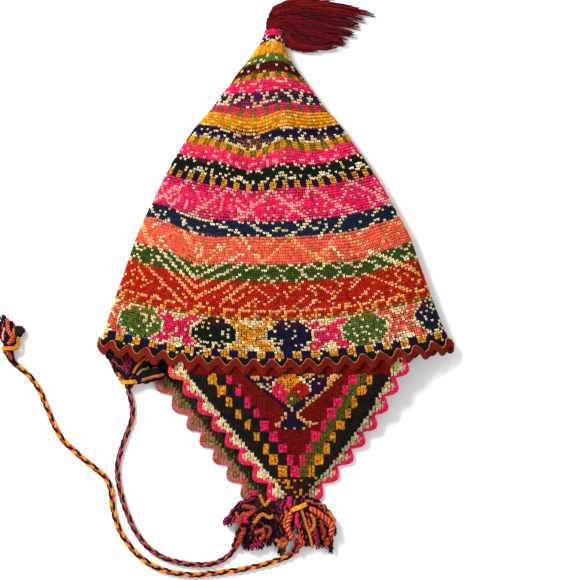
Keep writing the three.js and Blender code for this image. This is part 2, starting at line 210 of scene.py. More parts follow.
# Bands of the crown from rim to tip: level of the upper end, shift in stitches, fleck yarn and its share,
# whether the chart runs outward from the middle, and the chart, its upper course first
BANDS = [
    # top, shift, fleck, share, mirrored, chart
    (339.7, 0, "K", 0.0, False, ["K", "K"]),
    (329.6, 0, "W", 0.04, False, ["WOWNNN", "OOONNN", "OOONNN", "KKKNNN"]),
    (298.4, -1, "W", 0.17, False, FIGURES),
    (287.6, 0, "A", 0.06, False, ["AAARA", "RRRRO", "RRRAO", "VVOVA"]),
    (258.8, 3, "A", 0.09, False, [
        "RRRRRRARRRRRRRRRARRR",
        "RRRRRARRRRRRRRRRRARR",
        "RRARARRRRRRARRRRRRAR",
        "RRRARRRRRRARARRRRRRR",
        "RRARRRRRRARRRARRRRRR",
        "RARRRRRRRRRRRRARRRAR",
        "RRRRRRRARRRRRRRARARR",
        "RRRRRRARRRRRRRRRARRR",
        "RRRRRARRRRARRRRARRRR",
        "RRRRARRRRARARRARRRRR",
        "RRRRRRRRARRRRRRRRRRR",
        "ARRRRRRARRRRRRRRRRRA",
    ]),
    (242.6, 0, "W", 0.08, False, [
        "WGGGGWWGGGGW",
        "GWGGWGGWGGWG",
        "GGWWGGGGWWGG",
        "GGGGGGGGGGGG",
        "GGWGGGGGGWGG",
        "GWGWGGGGWGWG",
        "WGGGWGGWGGGW",
    ]),
    (217.5, 5, "A", 0.08, False, lattice("C", "A", 18, 10)),
    (204.0, 2, "W", 0.08, True, [
        "SSSSSSSSSSWS",
        "SSSSSSSSWWSS",
        "SSSSSSSWWSSS",
        "SSWSSSWWSSSS",
        "SSSSWWSSSSSS",
        "SSSWWSSSSSSS",
    ]),
    (175.3, 0, "H", 0.19, True, lattice("P", "H", 15, 12)),
    (168.5, 0, "N", 0.0, False, ["OONN"] * 3),
    (154.4, 4, "W", 0.08, False, [
        "KKKKKKWKKKKKKK",
        "KKWKKKKWKKKWKK",
        "KKKKKKKKKKKKKK",
        "WKKKKKKKKKKKKW",
        "WWKKWKKKKWKKWW",
        "KWWKKKKKKKKWWK",
    ]),
    (142.2, 0, "H", 0.17, False, ["P", "P", "P", "PPPPPH", "PPHPPP"]),
    (136.4, 0, "O", 0.0, False, ["OOVV"] * 3),
    (125.4, 3, "W", 0.08, False, [
        "NNNNNWNNNNNN",
        "NNWNNNNNNWNN",
        "NNNNNNNNNNNN",
        "WNNNWNNWNNNW",
        "WWNWWNNWWNWW",
    ]),
    (112.6, 0, "Y", 0.16, False, ["O"] * 5),
    (106.5, 0, "V", 0.0, False, ["PPVV"] * 3),
    (95.6, 1, "W", 0.08, False, [
        "SSSSSSSSSSWS",
        "SWSSSWSSSWWS",
        "WWSSSWSSSWSS",
        "WSSSSSWSWWSS",
        "SSSSSSWWWSSS",
    ]),
    (85.9, 2, "H", 0.15, False, ["PPPPPPPPPH", "PPPHPPPPPP", "PPPPPPPPPP", "HPPPPHPPPP"]),
    (81.6, 0, "O", 0.0, False, ["OOVV"] * 2),
    (72.0, 0, "M", 0.0, False, ["MMMMMMMMWMMM", "MMWMMMMMWMMM", "MMMMMWMMMMMM", "MMMMMMMMMMWM"]),
    (62.4, 0, "W", 0.12, False, ["L"] * 4),
    (46.6, 0, "Y", 0.16, False, ["O"] * 6),
    (38.8, 0, "N", 0.0, False, ["NNWNN", "NWNWN", "WNNNW"]),
    (31.0, 0, "H", 0.06, False, ["P"] * 4),
]

# Dark bands are mixed with pale stitches where they begin and end.
DARK_GROUNDS = "NSKLMG"
BORDER_FLECKS = 0.16

# Long slanting lines that cross the bands: nested copies of a V, arms given as runs to the left and right
LINE_REACH = 1.6
LINE_CLEAR = 5.0
LINE_YARNS = {"R": "A", "C": "W", "G": "W", "S": "W"}
SLANTING_LINES = [
    # x, y, left run, left rise, right run, right rise, copies, spacing
    (196, 278.5, 38, 42, 46, 24, 3, 10.3),
    (187, 306, 41, 41, 0, 0, 1, 0),
    (251, 250, 12, 17, 0, 0, 1, 0),
    (239, 233.6, 60, 22, 0, 0, 1, 0),
    (153.6, 226.4, 0, 0, 17, 6, 1, 0),
    (199.5, 258, 4, 8, 4, 8, 1, 0),
    (199.5, 242, 4, -8, 4, -8, 1, 0),
    (221.4, 250, 3, 4, 3, 4, 1, 0),
    (357, 237, 0, 0, 21, 18, 1, 0),
    (342.5, 258.6, 12, 13, 0, 0, 1, 0),
    (330.5, 245.5, 0, 0, 5, 9, 1, 0),
    (414, 269.3, 48, 18, 0, 0, 1, 0),
    (419, 274, 35, 14, 0, 0, 1, 0),
    (408, 291, 45, 17, 0, 0, 1, 0),
    (219, 306, 0, 0, 30, 24, 1, 0),
    (318, 240.7, 0, 0, 9, 14, 1, 0),
]

# Wavy rim ribbon, in mm
RIM_WAVES = 40
RIM_SWING = 3.0
RIM_RIBBON = 6.0
RIM_MIDDLE = -1.7
RIM_THICK = 1.8
RIM_STEPS = 560
EDGE_CORD = 0.42
EDGE_CORD_SIDES = 5
RIBBON_SIDES = 8
# Painted shade: the soft band under a ribbon's stitches at 0.6 of its yarn colour
RIBBON_PAINTED_SHADE = 0.6
RIBBON_ROW = 1.9
RIBBON_STITCH_SINK = 0.15
RIBBON_STITCH_RISE = 0.5

# Ear flaps: plan places of the two edges from root to tip, the flap's share from root to tip first
FRONT_FLAP = {
    "upper": True,
    "edges": np.array([
        # share, left x, left y, right x, right y
        [0, 165.3, 358, 409, 354.5],
        [0.4, 211.5, 415, 376.5, 414.5],
        [0.74, 247.8, 460, 344.5, 460],
        [1, 277.5, 497, 312, 497],
    ]),
    "rest": 6.3,
    "edge_rest": 0.8,
    "droop": 13.0,
    "fall_from": 0.0,
    "fall_to": 0.8,
}
BACK_FLAP = {
    "upper": False,
    "edges": np.array([
        # share, left x, left y, right x, right y
        [0, 134.5, 350, 385.5, 352.5],
        [0.4, 186, 415, 351.5, 414.5],
        [0.74, 221.5, 460, 319, 460],
        [1, 251, 497, 286, 497],
    ]),
    "rest": 0.2,
    "edge_rest": 0.2,
    "droop": 1.0,
    "fall_from": 0.07,
    "fall_to": 0.25,
}
FLAP_ROWS = 58
FLAP_COLUMNS = 32
FLAP_WALL_ROWS = 121
FLAP_STITCH_REACH = 1.0
FLAP_EDGE_SLANT = 1.25
FLAP_RIBBON_THICK = 0.8 * WALL
FLAP_WAVES = 8
FLAP_WAVE_LAG = 0.75
FLAP_SWING = 3.3
FLAP_RIBBON = 4.0
FLAP_ROOT_GAP = 0.5
RIBBON_STEPS = 260
GAP = 0.3

# Front flap's colours, placed on the plan grid: stepped checks beside both edges
CHECK_TOP = 372.0
CHECK_TALL = 11.6
CHECK_HALF = 3.7
CHECK_GAP = 0.14
LEFT_CHECKS = {"ochre": 213.0, "step": 8.7, "to_pink": 17.0, "between": "K"}
RIGHT_CHECKS = {"ochre": 369.0, "step": -7.2, "to_pink": -17.0, "between": "V"}
FLAP_TOP_STRIP = 374.0
BACK_TAN = 11.0
TIP_DARK_FROM = 476.0
TIP_SPECKS = 0.25
LEFT_CREAM = ((370, 185), (491, 283))
RIGHT_CREAM = ((371, 391), (411, 370), (441, 349), (468, 328), (492, 307))

# Cup-shaped figure in the middle of the front flap, charted
CUP_CENTRE_X = 290.5
CUP_TOP_Y = 374.0
CUP_STITCH = (3.03, 2.5)
CUP = [
    "DDDDDDDDDDDDDOOOOONNAAAANAAANNAAA",
    "DNNAAANAAANNOOOOOOOWNAANNAANNAAAD",
    "DDNNAANNANNWOOOOOOOWWNNWNNNNAAADD",
    "DDDNNNNNNNWPOOOOOOORWNWNNNNNAADDD",
    "DDDDNWWNWNWPPOOOOORRRWNNNWNNAADDD",
    "DDDDDNWWNWPPPPOOORRRRRWNNNNAADDDD",
    "DDDDDDNNWNPPPPOORRRRRRWNNNNADDDDD",
    "DDDDDDDNNWPPWPPORRWRRRWNNNADDDDDD",
    "DDDDDDDDNNPPPPPVVRRRRRNNNADDDDDDD",
    "DDDDDDDDDNNPPPPVVVRRRNNNADDDDDDDD",
    "DDDDDDDDDDNNPPPVWVVRNWNADDDDDDDDD",
    "DDDDDDDDDDDNNPPVVVVNNNADDDDDDDDDD",
    "DDDDDDDDDDDDNNPVVVNNNADDDDDDDDDDD",
    "DDDDDDDDDDDDDNNWVNNNADDDDDDDDDDDD",
    "DDDDDDDDDDDDDDNNWNNADDDDDDDDDDDDD",
    "DDDDDDDDDDDDDDANNNADDDDDDDDDDDDDD",
    "DDDDDDDDDDDDDDANNNADDDDDDDDDDDDDD",
    "DDDDDDDDDDDDDAANNNAADDDDDDDDDDDDD",
    "DDDDDDDDDDDDDANNNNNAADDDDDDDDDDDD",
    "DDDDDDDDDDDDANNNNNNNAAADDDDDDDDDD",
    "DDDDDDDDDDDAANNNNNNNNAAAADDDDDDDD",
    "DDDDDDDDDDDAANNNNNNNNNADDDDDDDDDD",
    "DDDDDDDDDDDDDNWNNWNNWDDDDDDDDDDDD",
]

# Tassels: a neck on the plan, a row for each lock of yarn, and ropes of coloured yarn laid on the locks
CROWN_TASSEL = {
    "neck": [(274.3, 30.5, 6.6, 5.9), (275, 19, 6.8, 6.8)],
    "locks": [
        # bend x, bend y, bend z, end x, end y, end z, radius, end radius
        (279, -7, 5.4, 371, 14, 3.4, 5, 2.6),
        (284, 2, 8, 363, 19, 5, 5.2, 3.2),
        (292, 10, 5.6, 357, 27, 4.2, 5.2, 3.2),
        (297, 21, 8, 351, 35, 4.8, 5.2, 3.2),
        (306, 32, 5.6, 345, 43.5, 4.2, 5, 3.2),
        (306, 39, 5.4, 330, 45.5, 4.2, 4.6, 3.4),
        (274, 6, 8, 332, 4, 4.6, 5, 3.6),
    ],
    "falls": [
        # start x, start y, start z, then as a lock
        (287.5, 32, 6.4, 290, 50, 5.4, 338, 44.5, 4.4, 3.4, 4.2),
        (271, 30, 6.6, 268, 14, 6.6, 300, 3.5, 5, 3.4, 4),
        (283, 36, 6.4, 287, 49, 5.4, 318, 47.5, 4.4, 3.4, 4),
    ],
    "yarns": "MZMZMMZ",
    "ropes": [],
}
FRONT_TASSEL = {
    "neck": [(296, 499, 6, 4.6), (301, 513, 6.4, 4.7)],
    "locks": [
        # bend x, bend y, bend z, end x, end y, end z, radius, end radius
        (303, 534, 5, 297, 547.5, 2.7, 4, 2.3),
        (288, 518, 5, 287.5, 540, 4.2, 4.4, 3.4),
        (309, 528, 5, 307.5, 546, 4.2, 4.8, 3.6),
        (317, 526, 5.2, 319, 548, 4.2, 4.8, 3.6),
        (327, 518, 5, 330, 552, 3.8, 4.8, 3.2),
        (330, 511, 5.2, 333, 535, 4.2, 4.6, 3.4),
        (310, 520, 7.4, 312, 540, 5.4, 4.8, 3.6),
    ],
    "falls": [
        # start x, start y, start z, then as a lock
        (290, 500, 5.4, 284, 506, 5, 283, 528, 4, 2.6, 3),
        (305, 500, 5.4, 322, 502, 5, 329, 520, 4, 3.2, 3.4),
        (300, 505, 8, 306, 520, 8, 322, 534, 6, 3, 3),
        (301, 532, 5, 300, 545, 3.6, 293, 552, 2.9, 2.6, 1.9),
        (290, 503, 5, 282, 512, 4.6, 281, 535, 4, 3, 3),
        (292, 520, 5, 285, 535, 4.4, 280, 555, 3.4, 3, 2.6),
        (288, 498, 5.6, 280, 497, 5, 279, 512, 4.6, 2.8, 3),
    ],
    "yarns": "BBNBKEBMBIBU",
    "ropes": [
        # yarn, height, radius, places
        ("P", 9.5, 2.0, [(290, 496), (289.5, 501), (290, 506)]),
        ("X", 9.0, 1.0, [(287, 510), (285, 518), (284.4, 527)]),
        ("C", 9.5, 2.2, [(290, 511), (288.4, 526), (291.6, 540)]),
        ("P", 10.5, 1.7, [(298.7, 513), (296.3, 519.5), (299.5, 527)]),
        ("O", 11.0, 1.3, [(302, 509), (305, 522), (310, 533), (311.5, 547)]),
        ("O", 10.5, 1.5, [(310, 513), (314.7, 521), (310, 531.5)]),
        ("C", 9.5, 2.4, [(309, 507), (322, 515), (331, 523.5), (331.5, 535)]),
        ("O", 8.5, 1.2, [(327, 511), (333, 517), (334.5, 522)]),
        ("C", 9.0, 1.9, [(297, 535), (301, 539), (304, 543)]),
        ("J", 8.0, 1.6, [(327, 537), (327.5, 541), (326, 545)]),
        ("J", 8.0, 2.0, [(286, 538), (281, 541), (283, 547)]),
        ("X", 8.5, 1.4, [(276, 538), (281, 545), (287, 541)]),
        ("J", 6.5, 1.6, [(303, 540), (300, 546), (296, 551.5)]),
        ("J", 9.5, 1.5, [(320, 520), (324, 529), (323, 538)]),
        ("U", 9.0, 1.3, [(316, 531), (318, 538), (317, 545)]),
    ],
}
BACK_TASSEL = {
    "neck": [(262, 499.3, 4.6, 4.2), (256, 510, 5.4, 4.8)],
    "locks": [
        # bend x, bend y, bend z, end x, end y, end z, radius, end radius
        (242, 524, 5, 237, 543, 2.7, 4, 2.3),
        (237, 508, 5, 226, 525, 4.2, 4.8, 3.2),
        (248, 528, 5, 247, 550, 4.2, 4.8, 3.4),
        (258, 530, 5, 258, 549, 4.2, 4.8, 3.6),
        (266, 524, 5.2, 268, 546, 4.2, 4.8, 3.6),
        (272, 512, 5, 276, 534, 4.2, 4.4, 3.2),
        (254, 518, 7.4, 251, 537, 5.4, 4.8, 3.6),
    ],
    "falls": [
        # start x, start y, start z, then as a lock
        (262, 501, 5, 274, 502, 5, 279, 519, 4.4, 3.4, 3),
        (258, 501, 5, 244, 500, 5, 232, 514, 4.2, 3.4, 3),
        (266, 501, 5, 272, 520, 6, 279, 544, 4, 3, 3),
        (256, 505, 7, 250, 520, 7, 242, 532, 6, 3, 3),
        (242, 528, 5, 239, 541, 3.6, 233, 549, 2.9, 2.6, 1.9),
        (270, 503, 5, 280, 506, 4.6, 282, 528, 4, 3, 3),
    ],
    "yarns": "BBNBMEBKBUBE",
    "ropes": [
        # yarn, height, radius, places
        ("P", 8.5, 1.8, [(249, 493), (252.5, 492), (256, 493)]),
        ("O", 8.0, 1.5, [(261, 495), (264, 504), (268, 503), (271, 497)]),
        ("J", 9.5, 1.9, [(242, 506), (255, 507), (251, 512), (242, 516), (241, 522)]),
        ("P", 9.5, 1.6, [(247, 516), (245, 519), (247, 523)]),
        ("O", 11.0, 1.6, [(253, 522), (258, 518), (263, 514), (268, 516), (274, 515)]),
        ("J", 8.5, 2.0, [(244.5, 527), (242, 535), (239, 541)]),
        ("J", 10.0, 1.7, [(255, 531), (263, 530), (264, 535), (259, 538)]),
        ("U", 7.5, 1.9, [(251, 549), (254, 545), (263, 542)]),
        ("U", 6.5, 1.7, [(223.5, 524), (227, 519), (231, 514.7)]),
        ("C", 9.5, 1.6, [(243, 512), (248, 515), (252, 510)]),
        ("J", 6.0, 1.6, [(242, 537), (239, 542), (235.5, 547)]),
        ("J", 9.5, 1.5, [(266, 524), (270, 530), (268, 538)]),
        ("C", 9.5, 1.4, [(236, 512), (239, 517), (236, 521)]),
    ],
}
FRONT_END_TASSEL = {
    "neck": [(12.6, 361.6, 3.2, 2.4), (9.5, 352, 5.2, 3.6), (9.5, 344, 5.2, 3.6)],
    "locks": [
        # bend x, bend y, bend z, end x, end y, end z, radius, end radius
        (2, 336, 4.4, -2, 322, 3, 3.4, 2.4),
        (7, 334, 7, 4, 315, 3.6, 3.4, 2.4),
        (12, 334, 4.4, 11, 321, 3.2, 3.4, 2.4),
        (18, 334, 5, 20, 326, 3.4, 3.4, 2.8),
    ],
    "falls": [
        # start x, start y, start z, then as a lock
        (10.5, 355, 4.4, 12.5, 361, 3.4, 17, 365.5, 2.7, 2, 1.6),
        (12, 345, 6, 16, 334, 5.4, 24, 328, 4, 2.6, 3),
    ],
    "yarns": "BNBKEN",
    "ropes": [
        # yarn, height, radius, places
        ("C", 9.5, 1.6, [(9.5, 344), (12.5, 338), (9.5, 329), (7.3, 319)]),
        ("O", 7.5, 1.4, [(14, 350), (19, 344.6), (18.5, 336.5)]),
        ("H", 8.0, 0.9, [(3, 341), (4, 335), (5, 327)]),
        ("J", 7.5, 1.6, [(4.4, 352), (9, 354), (13, 359)]),
        ("X", 8.0, 1.1, [(13, 343), (15, 335), (13.5, 328)]),
    ],
}
BACK_END_TASSEL = {
    "neck": [(128.4, 388, 3.4, 2.4), (129.5, 383.5, 6.2, 4.2), (130, 375.5, 6.8, 4.4)],
    "locks": [
        # bend x, bend y, bend z, end x, end y, end z, radius, end radius
        (119, 368, 9, 113, 355, 9.2, 2.9, 2.2),
        (126, 364, 9, 124, 353, 9.4, 2.9, 2.2),
        (134, 364, 9.2, 137, 354, 9.6, 2.9, 2.2),
        (142, 368, 9.2, 150, 358, 9.8, 2.9, 2.2),
        (147, 374, 9.2, 162, 368, 9.8, 2.9, 2.2),
    ],
    "falls": [
        # start x, start y, start z, then as a lock
        (129, 377, 6.4, 117, 364, 6.4, 106, 350, 5.6, 2.8, 2.6),
        (131, 376, 6.4, 140, 362, 6.4, 146, 354, 5.6, 2.8, 2.6),
        (132, 377, 6.4, 150, 372, 6, 164, 362, 5.4, 2.8, 2.6),
        (129, 376, 6.4, 124, 360, 6.4, 118, 350, 5.6, 2.8, 2.6),
        (133, 380, 6.4, 150, 381, 5.4, 168, 372, 5, 2.8, 2.6),
        (127, 380, 6.4, 118, 375, 6, 113, 360, 5.6, 2.6, 2.6),
    ],
    "yarns": "BBNBKBE",
    "ropes": [
        # yarn, height, radius, places
        ("U", 11.5, 1.7, [(128, 374), (126.6, 364), (130, 357), (134, 351)]),
        ("X", 12.0, 1.2, [(134.6, 373), (138.6, 364.7), (144.4, 358.4), (151, 357), (146, 361)]),
        ("T", 12.0, 1.1, [(138, 374.4), (142.6, 370), (149.5, 367)]),
        ("X", 11.0, 1.3, [(142.6, 379), (153, 377), (165, 373.5)]),
        ("O", 8.5, 1.2, [(124, 381), (120, 377.5), (119, 373)]),
    ],
}
NECK_FLAT = 0.66
NECK_TWIST = 60.0
LOCK_START = 0.04
LOCK_REACH = (0.86, 1.03)
LOCK_FULL = 0.93
LOCK_TURN = 0.9
LOCK_WAVES = (2, 5)
LOCK_CURL = 0.3
CROWN_LOCK_CURL = 0.14
STRAND_SIDES = 5
LOCK_STRANDS = 26
LOCK_STEPS = 15
CROWN_LOCK_STRANDS = 46
STRAND_RADIUS = 0.72
CROWN_STRAND_RADIUS = 0.5
NECK_STRANDS = 24
ROPE_STRANDS = 4
ROPE_STEPS = 34
ROPE_TWIST = 2.8
ROPE_SWAY = 0.45
ROPE_SHADE = 0.82
ROPE_SIDES = 6
ROPE_RING = 0.5
ROPE_YARN = 0.48
ROPE_BENDS = 9
ROPE_PHASE = 6
DARKER = {"C": "E", "J": "E", "O": "I", "X": "I", "P": "U", "U": "M"}

# Yarn bindings: plan place, height, ring radius, yarn radius (mm) and heading on the plan in degrees
BINDINGS = {
    "flap_front_binding": (298.9, 507, 6.3, 6.2, 1.2, 290),
    "tie_front_end_binding": (9.5, 348, 5.2, 4.9, 1.0, 90),
    "tie_back_end_binding": (129.6, 381.6, 6.3, 6.0, 1.0, 93),
}
BINDING_FLAT = 0.8
BINDING_WRAPS = 3
BINDING_STEPS = 24
BINDING_SPREAD = 2.2
BINDING_PLY_RING = 0.4
BINDING_PLY = 0.6
BINDING_PLY_TWIST = 5.0
BINDING_SIDES = 6

# Ties, from the flap's tassel to the end tassel: plan places and heights of the middle of the braid
TIE_FRONT = [
    # x, y, z
    (296.2, 549.2, 2.7),
    (290, 555.5, 2.5),
    (268, 563, 2.4),
    (243, 569, 2.4),
    (210, 573.5, 2.4),
    (188, 574.5, 2.4),
    (164, 570, 2.4),
    (146, 561, 2.4),
    (130, 546, 2.4),
    (118, 526, 2.4),
    (112.5, 505, 2.4),
    (110.5, 488, 2.4),
    (104, 475.5, 2.4),
    (92, 465.5, 2.4),
    (76, 452, 2.4),
    (62, 438.5, 2.4),
    (53, 422, 2.4),
    (46, 405, 2.4),
    (40, 391, 2.4),
    (32, 378.5, 2.4),
    (22, 369, 2.5),
    (14.6, 363.2, 3.1),
]
TIE_BACK = [
    # x, y, z
    (236.8, 543.9, 2.7),
    (231, 553, 2.5),
    (219, 561.5, 2.4),
    (203, 564.5, 2.4),
    (183, 563, 2.4),
    (163, 557, 2.4),
    (147, 546, 2.4),
    (135, 530, 2.4),
    (126, 510, 2.4),
    (120, 490, 2.4),
    (117.5, 470, 2.4),
    (120, 454, 2.4),
    (126, 436, 2.4),
    (132, 419, 2.4),
    (132, 404, 2.4),
    (129.5, 394, 2.8),
    (128.5, 390, 3.3),
]
FRONT_BRAID = ["OX", "JM", "BK"]
BACK_BRAID = ["JU", "TK", "MB"]


def srgb(hex_colour):
    """Linear red, green and blue of an sRGB hex colour"""
    parts = np.array([int(hex_colour[i:i + 2], 16) for i in (1, 3, 5)]) / 255
    return np.where(parts <= 0.04045, parts / 12.92, ((parts + 0.055) / 1.055) ** 2.4)


YARN_LINEAR = {letter: srgb(colour) for letter, colour in YARNS.items()}


def yarn_colours(letters):
    """Linear colours of a row of yarn letters, each stitch or strand a little lighter or darker"""
    colours = np.array([YARN_LINEAR[letter] for letter in letters])
    return colours * (1 + SHADE_JITTER * rng.standard_normal((len(colours), 1))).clip(0.6, 1.5)


def plan(x, y, z):
    """Metres from plan grid places and a height in mm"""
    x, y, z = np.broadcast_arrays(x, y, z)
    return np.stack([(x - MID_X) * GRID_MM, (MID_Y - y) * GRID_MM, z], axis=-1) * MM


def unit(vectors):
    return vectors / np.maximum(np.linalg.norm(vectors, axis=-1, keepdims=True), 1e-12)


def smoothstep(value, low, high):
    share = np.clip((value - low) / (high - low), 0, 1)
    return share * share * (3 - 2 * share)


def run_length(points):
    """Length along a row of points, up to each of them"""
    return np.concatenate([[0], np.cumsum(np.linalg.norm(np.diff(points, axis=0), axis=1))])


def at_lengths(wanted, length, values):
    """Values of a row of points at the wanted lengths along it"""
    return np.stack([np.interp(wanted, length, column) for column in values.T], axis=1)


def path_frame(paths):
    """Unit vectors along, beside and above every point of a path or of many"""
    along = unit(np.gradient(paths, axis=-2))
    side = unit(np.cross([0, 0, 1.0], along) + 1e-9)
    return along, side, np.cross(along, side)


def quads(a, b, c, d):
    """Two triangles for every four corners"""
    return np.stack([a, b, c, a, c, d], axis=-1).reshape(-1, 3)


def ring_walls(rings, sides, endless=False):
    """Walls between rings of points that follow each other"""
    ring, k = np.meshgrid(np.arange(rings if endless else rings - 1), np.arange(sides), indexing="ij")
    here = ring * sides
    there = (ring + 1) % rings * sides
    after = (k + 1) % sides
    return quads(here + k, here + after, there + after, there + k)


def end_fans(rings, sides):
    """Flat ends that close the first and the last ring"""
    fan = np.array([(0, i + 1, i) for i in range(1, sides - 1)])
    return np.vstack([fan, (rings - 1) * sides + fan[:, ::-1]])


def smooth_curve(points, steps):
    """Even steps along a soft curve through the points"""
    points = np.array(points, float)
    padded = np.vstack([2 * points[0] - points[1], points, 2 * points[-1] - points[-2]])
    t = np.linspace(0, len(points) - 1, 24 * len(points))
    i = np.minimum(t.astype(int), len(points) - 2)
    u = (t - i)[:, None]
    a, b, c, d = (padded[i + k] for k in range(4))
    square = (2 * a - 5 * b + 4 * c - d) * u ** 2
    cube = (3 * b - a - 3 * c + d) * u ** 3
    fine = 0.5 * (2 * b + (c - a) * u + square + cube)
    length = run_length(fine)
    return at_lengths(np.linspace(0, length[-1], steps), length, fine)


def make_piece(name, verts, tris, material, colours, uv=None):
    """A mesh piece from arrays of points and triangles, turned outward, riding on the hat"""
    verts = np.asarray(verts, float).reshape(-1, 3)
    tris = np.asarray(tris, int).reshape(-1, 3)
    corner = verts[tris]
    if np.einsum("ij,ij->i", corner[:, 0], np.cross(corner[:, 1], corner[:, 2])).sum() < 0:
        tris = tris[:, ::-1]
        uv = uv if uv is None else uv[:, ::-1]
    mesh = bpy.data.meshes.new(name)
    mesh.vertices.add(len(verts))
    mesh.vertices.foreach_set("co", verts.ravel())
    mesh.loops.add(tris.size)
    mesh.loops.foreach_set("vertex_index", tris.ravel())
    mesh.polygons.add(len(tris))
    mesh.polygons.foreach_set("loop_start", np.arange(0, tris.size, 3))
    mesh.update(calc_edges=True)
    mesh.polygons.foreach_set("use_smooth", np.full(len(tris), True))
    shade = mesh.attributes.new("yarn", "FLOAT_COLOR", "POINT")
    shade.data.foreach_set("color", np.column_stack([colours, np.ones(len(verts))]).ravel())
    if uv is not None:
        mesh.uv_layers.new(name="OFBake").data.foreach_set("uv", uv.ravel())
    mesh.materials.append(material)
    piece = bpy.data.objects.new(name, mesh)
    bpy.context.scene.collection.objects.link(piece)
    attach(piece, "root")
    return piece


def add_node(tree, kind, inputs=(), links=(), **settings):
    """Add a node with its settings, its input values and its links from other nodes"""
    node = tree.nodes.new(kind)
    for key, value in settings.items():
        setattr(node, key, value)
    for key, value in dict(inputs).items():
        node.inputs[key].default_value = value
    for key, (source, output) in dict(links).items():
        tree.links.new(source.outputs[output], node.inputs[key])
    return node


# Wool in general: keratin's IOR, hardly any shine, hairs that scatter, colour mottled along the fibres
WOOL_IOR = 1.54
WOOL_SPECULAR = 0.1
HAIR_ROUGHNESS = 0.45
FIBRE_DETAIL = 3.0
FIBRE_BUMP = 0.6
FIBRE_MOTTLE = {"From Min": 0.3, "From Max": 0.7, "To Min": 0.58, "To Max": 1.3}


def wool(name, fibre_mm, depth_mm, roughness, sheen):
    """Wool whose yarn colour is carried by the piece, mottled along its fibres and softly hairy"""
    material = bpy.data.materials.new(name)
    material.use_nodes = True
    tree = material.node_tree
    shader = tree.nodes["Principled BSDF"]
    shader.inputs["Roughness"].default_value = roughness
    shader.inputs["IOR"].default_value = WOOL_IOR
    shader.inputs["Specular IOR Level"].default_value = WOOL_SPECULAR
    shader.inputs["Sheen Weight"].default_value = sheen
    shader.inputs["Sheen Roughness"].default_value = HAIR_ROUGHNESS
    yarn = add_node(tree, "ShaderNodeAttribute", attribute_name="yarn")
    place = add_node(tree, "ShaderNodeTexCoord")
    fibres = add_node(tree, "ShaderNodeTexNoise", {"Scale": 1 / (fibre_mm * MM), "Detail": FIBRE_DETAIL},
                      {"Vector": (place, "Object")})
    mottle = add_node(tree, "ShaderNodeMapRange", FIBRE_MOTTLE, {"Value": (fibres, "Fac")})
    tinted = add_node(tree, "ShaderNodeVectorMath", (), {0: (yarn, "Color"), 1: (mottle, "Result")},
                      operation="MULTIPLY")
    bump = add_node(tree, "ShaderNodeBump", {"Strength": FIBRE_BUMP, "Distance": depth_mm * MM},
                    {"Height": (fibres, "Fac")})
    tree.links.new(tinted.outputs["Vector"], shader.inputs["Base Color"])
    tree.links.new(bump.outputs["Normal"], shader.inputs["Normal"])
    return material


# Hand-spun wool in stranded knitting: matt, each stitch a plump V with a little shine on its hairs
KNIT_WOOL = wool("hand_spun_wool_stranded_knit", fibre_mm=0.7, depth_mm=0.12, roughness=0.92, sheen=0.02)
# The wrong side and the depth between stitches: the same wool, matted by the floats; its pieces carry their
# yarn colours darkened as painted shade
BACKING_WOOL = wool("hand_spun_wool_floats", fibre_mm=1.6, depth_mm=0.3, roughness=0.97, sheen=0.0)
# Knitted ribbon of tighter, plied wool: smoother stitches
RIBBON_WOOL = wool("plied_wool_knitted_ribbon", fibre_mm=0.6, depth_mm=0.1, roughness=0.88, sheen=0.03)
# Loose plied yarn of the tassels: long strands with a slight shine
TASSEL_WOOL = wool("loose_plied_wool_yarn", fibre_mm=0.8, depth_mm=0.1, roughness=0.85, sheen=0.01)
# Braided and wound yarn: tight and slightly glossy with wear
BRAID_WOOL = wool("braided_wool_yarn", fibre_mm=0.7, depth_mm=0.1, roughness=0.8, sheen=0.03)


# A leg of a stitch, in shares of it: how low its point lies, and where its rings are and how full
GRAIN_POINT = 0.4
GRAIN_RINGS = ((0.42, 1.0), (0.9, 0.8))


def grain(start, end, half, low, high):
    """A plump length of yarn as seven points: a point at its start and two three-sided rings"""
    start, end = np.array(start), np.array(end)
    run = end - start
    side = np.array([-run[1], run[0]]) / np.linalg.norm(run) * half
    rows = [(*start, GRAIN_POINT * low)]
    for share, fullness in GRAIN_RINGS:
        middle = start + run * share
        rows.append((*(middle - fullness * side), low))
        rows.append((*middle, high * fullness))
        rows.append((*(middle + fullness * side), low))
    return np.array(rows)


GRAIN_TRIS = np.array([
    (0, 1, 2), (0, 2, 3), (0, 3, 1),
    (1, 4, 5), (1, 5, 2), (2, 5, 6), (2, 6, 3), (3, 6, 4), (3, 4, 1),
    (4, 6, 5),
])
GRAIN_UV = np.array([
    (0.5, 0.05),
    (0.1, 0.4), (0.5, 0.45), (0.9, 0.4),
    (0.15, 0.75), (0.5, 0.95), (0.85, 0.75),
])
LEG = {"half": 0.27, "low": -0.7, "high": 0.95}
V_STITCH = [grain((0.07, -0.6), (0.33, 0.82), **LEG), grain((-0.07, -0.6), (-0.33, 0.82), **LEG)]
PURL_STITCH = [grain((-0.6, 0.2), (0.55, 0.3), **LEG), grain((0.6, -0.3), (-0.55, -0.2), **LEG)]


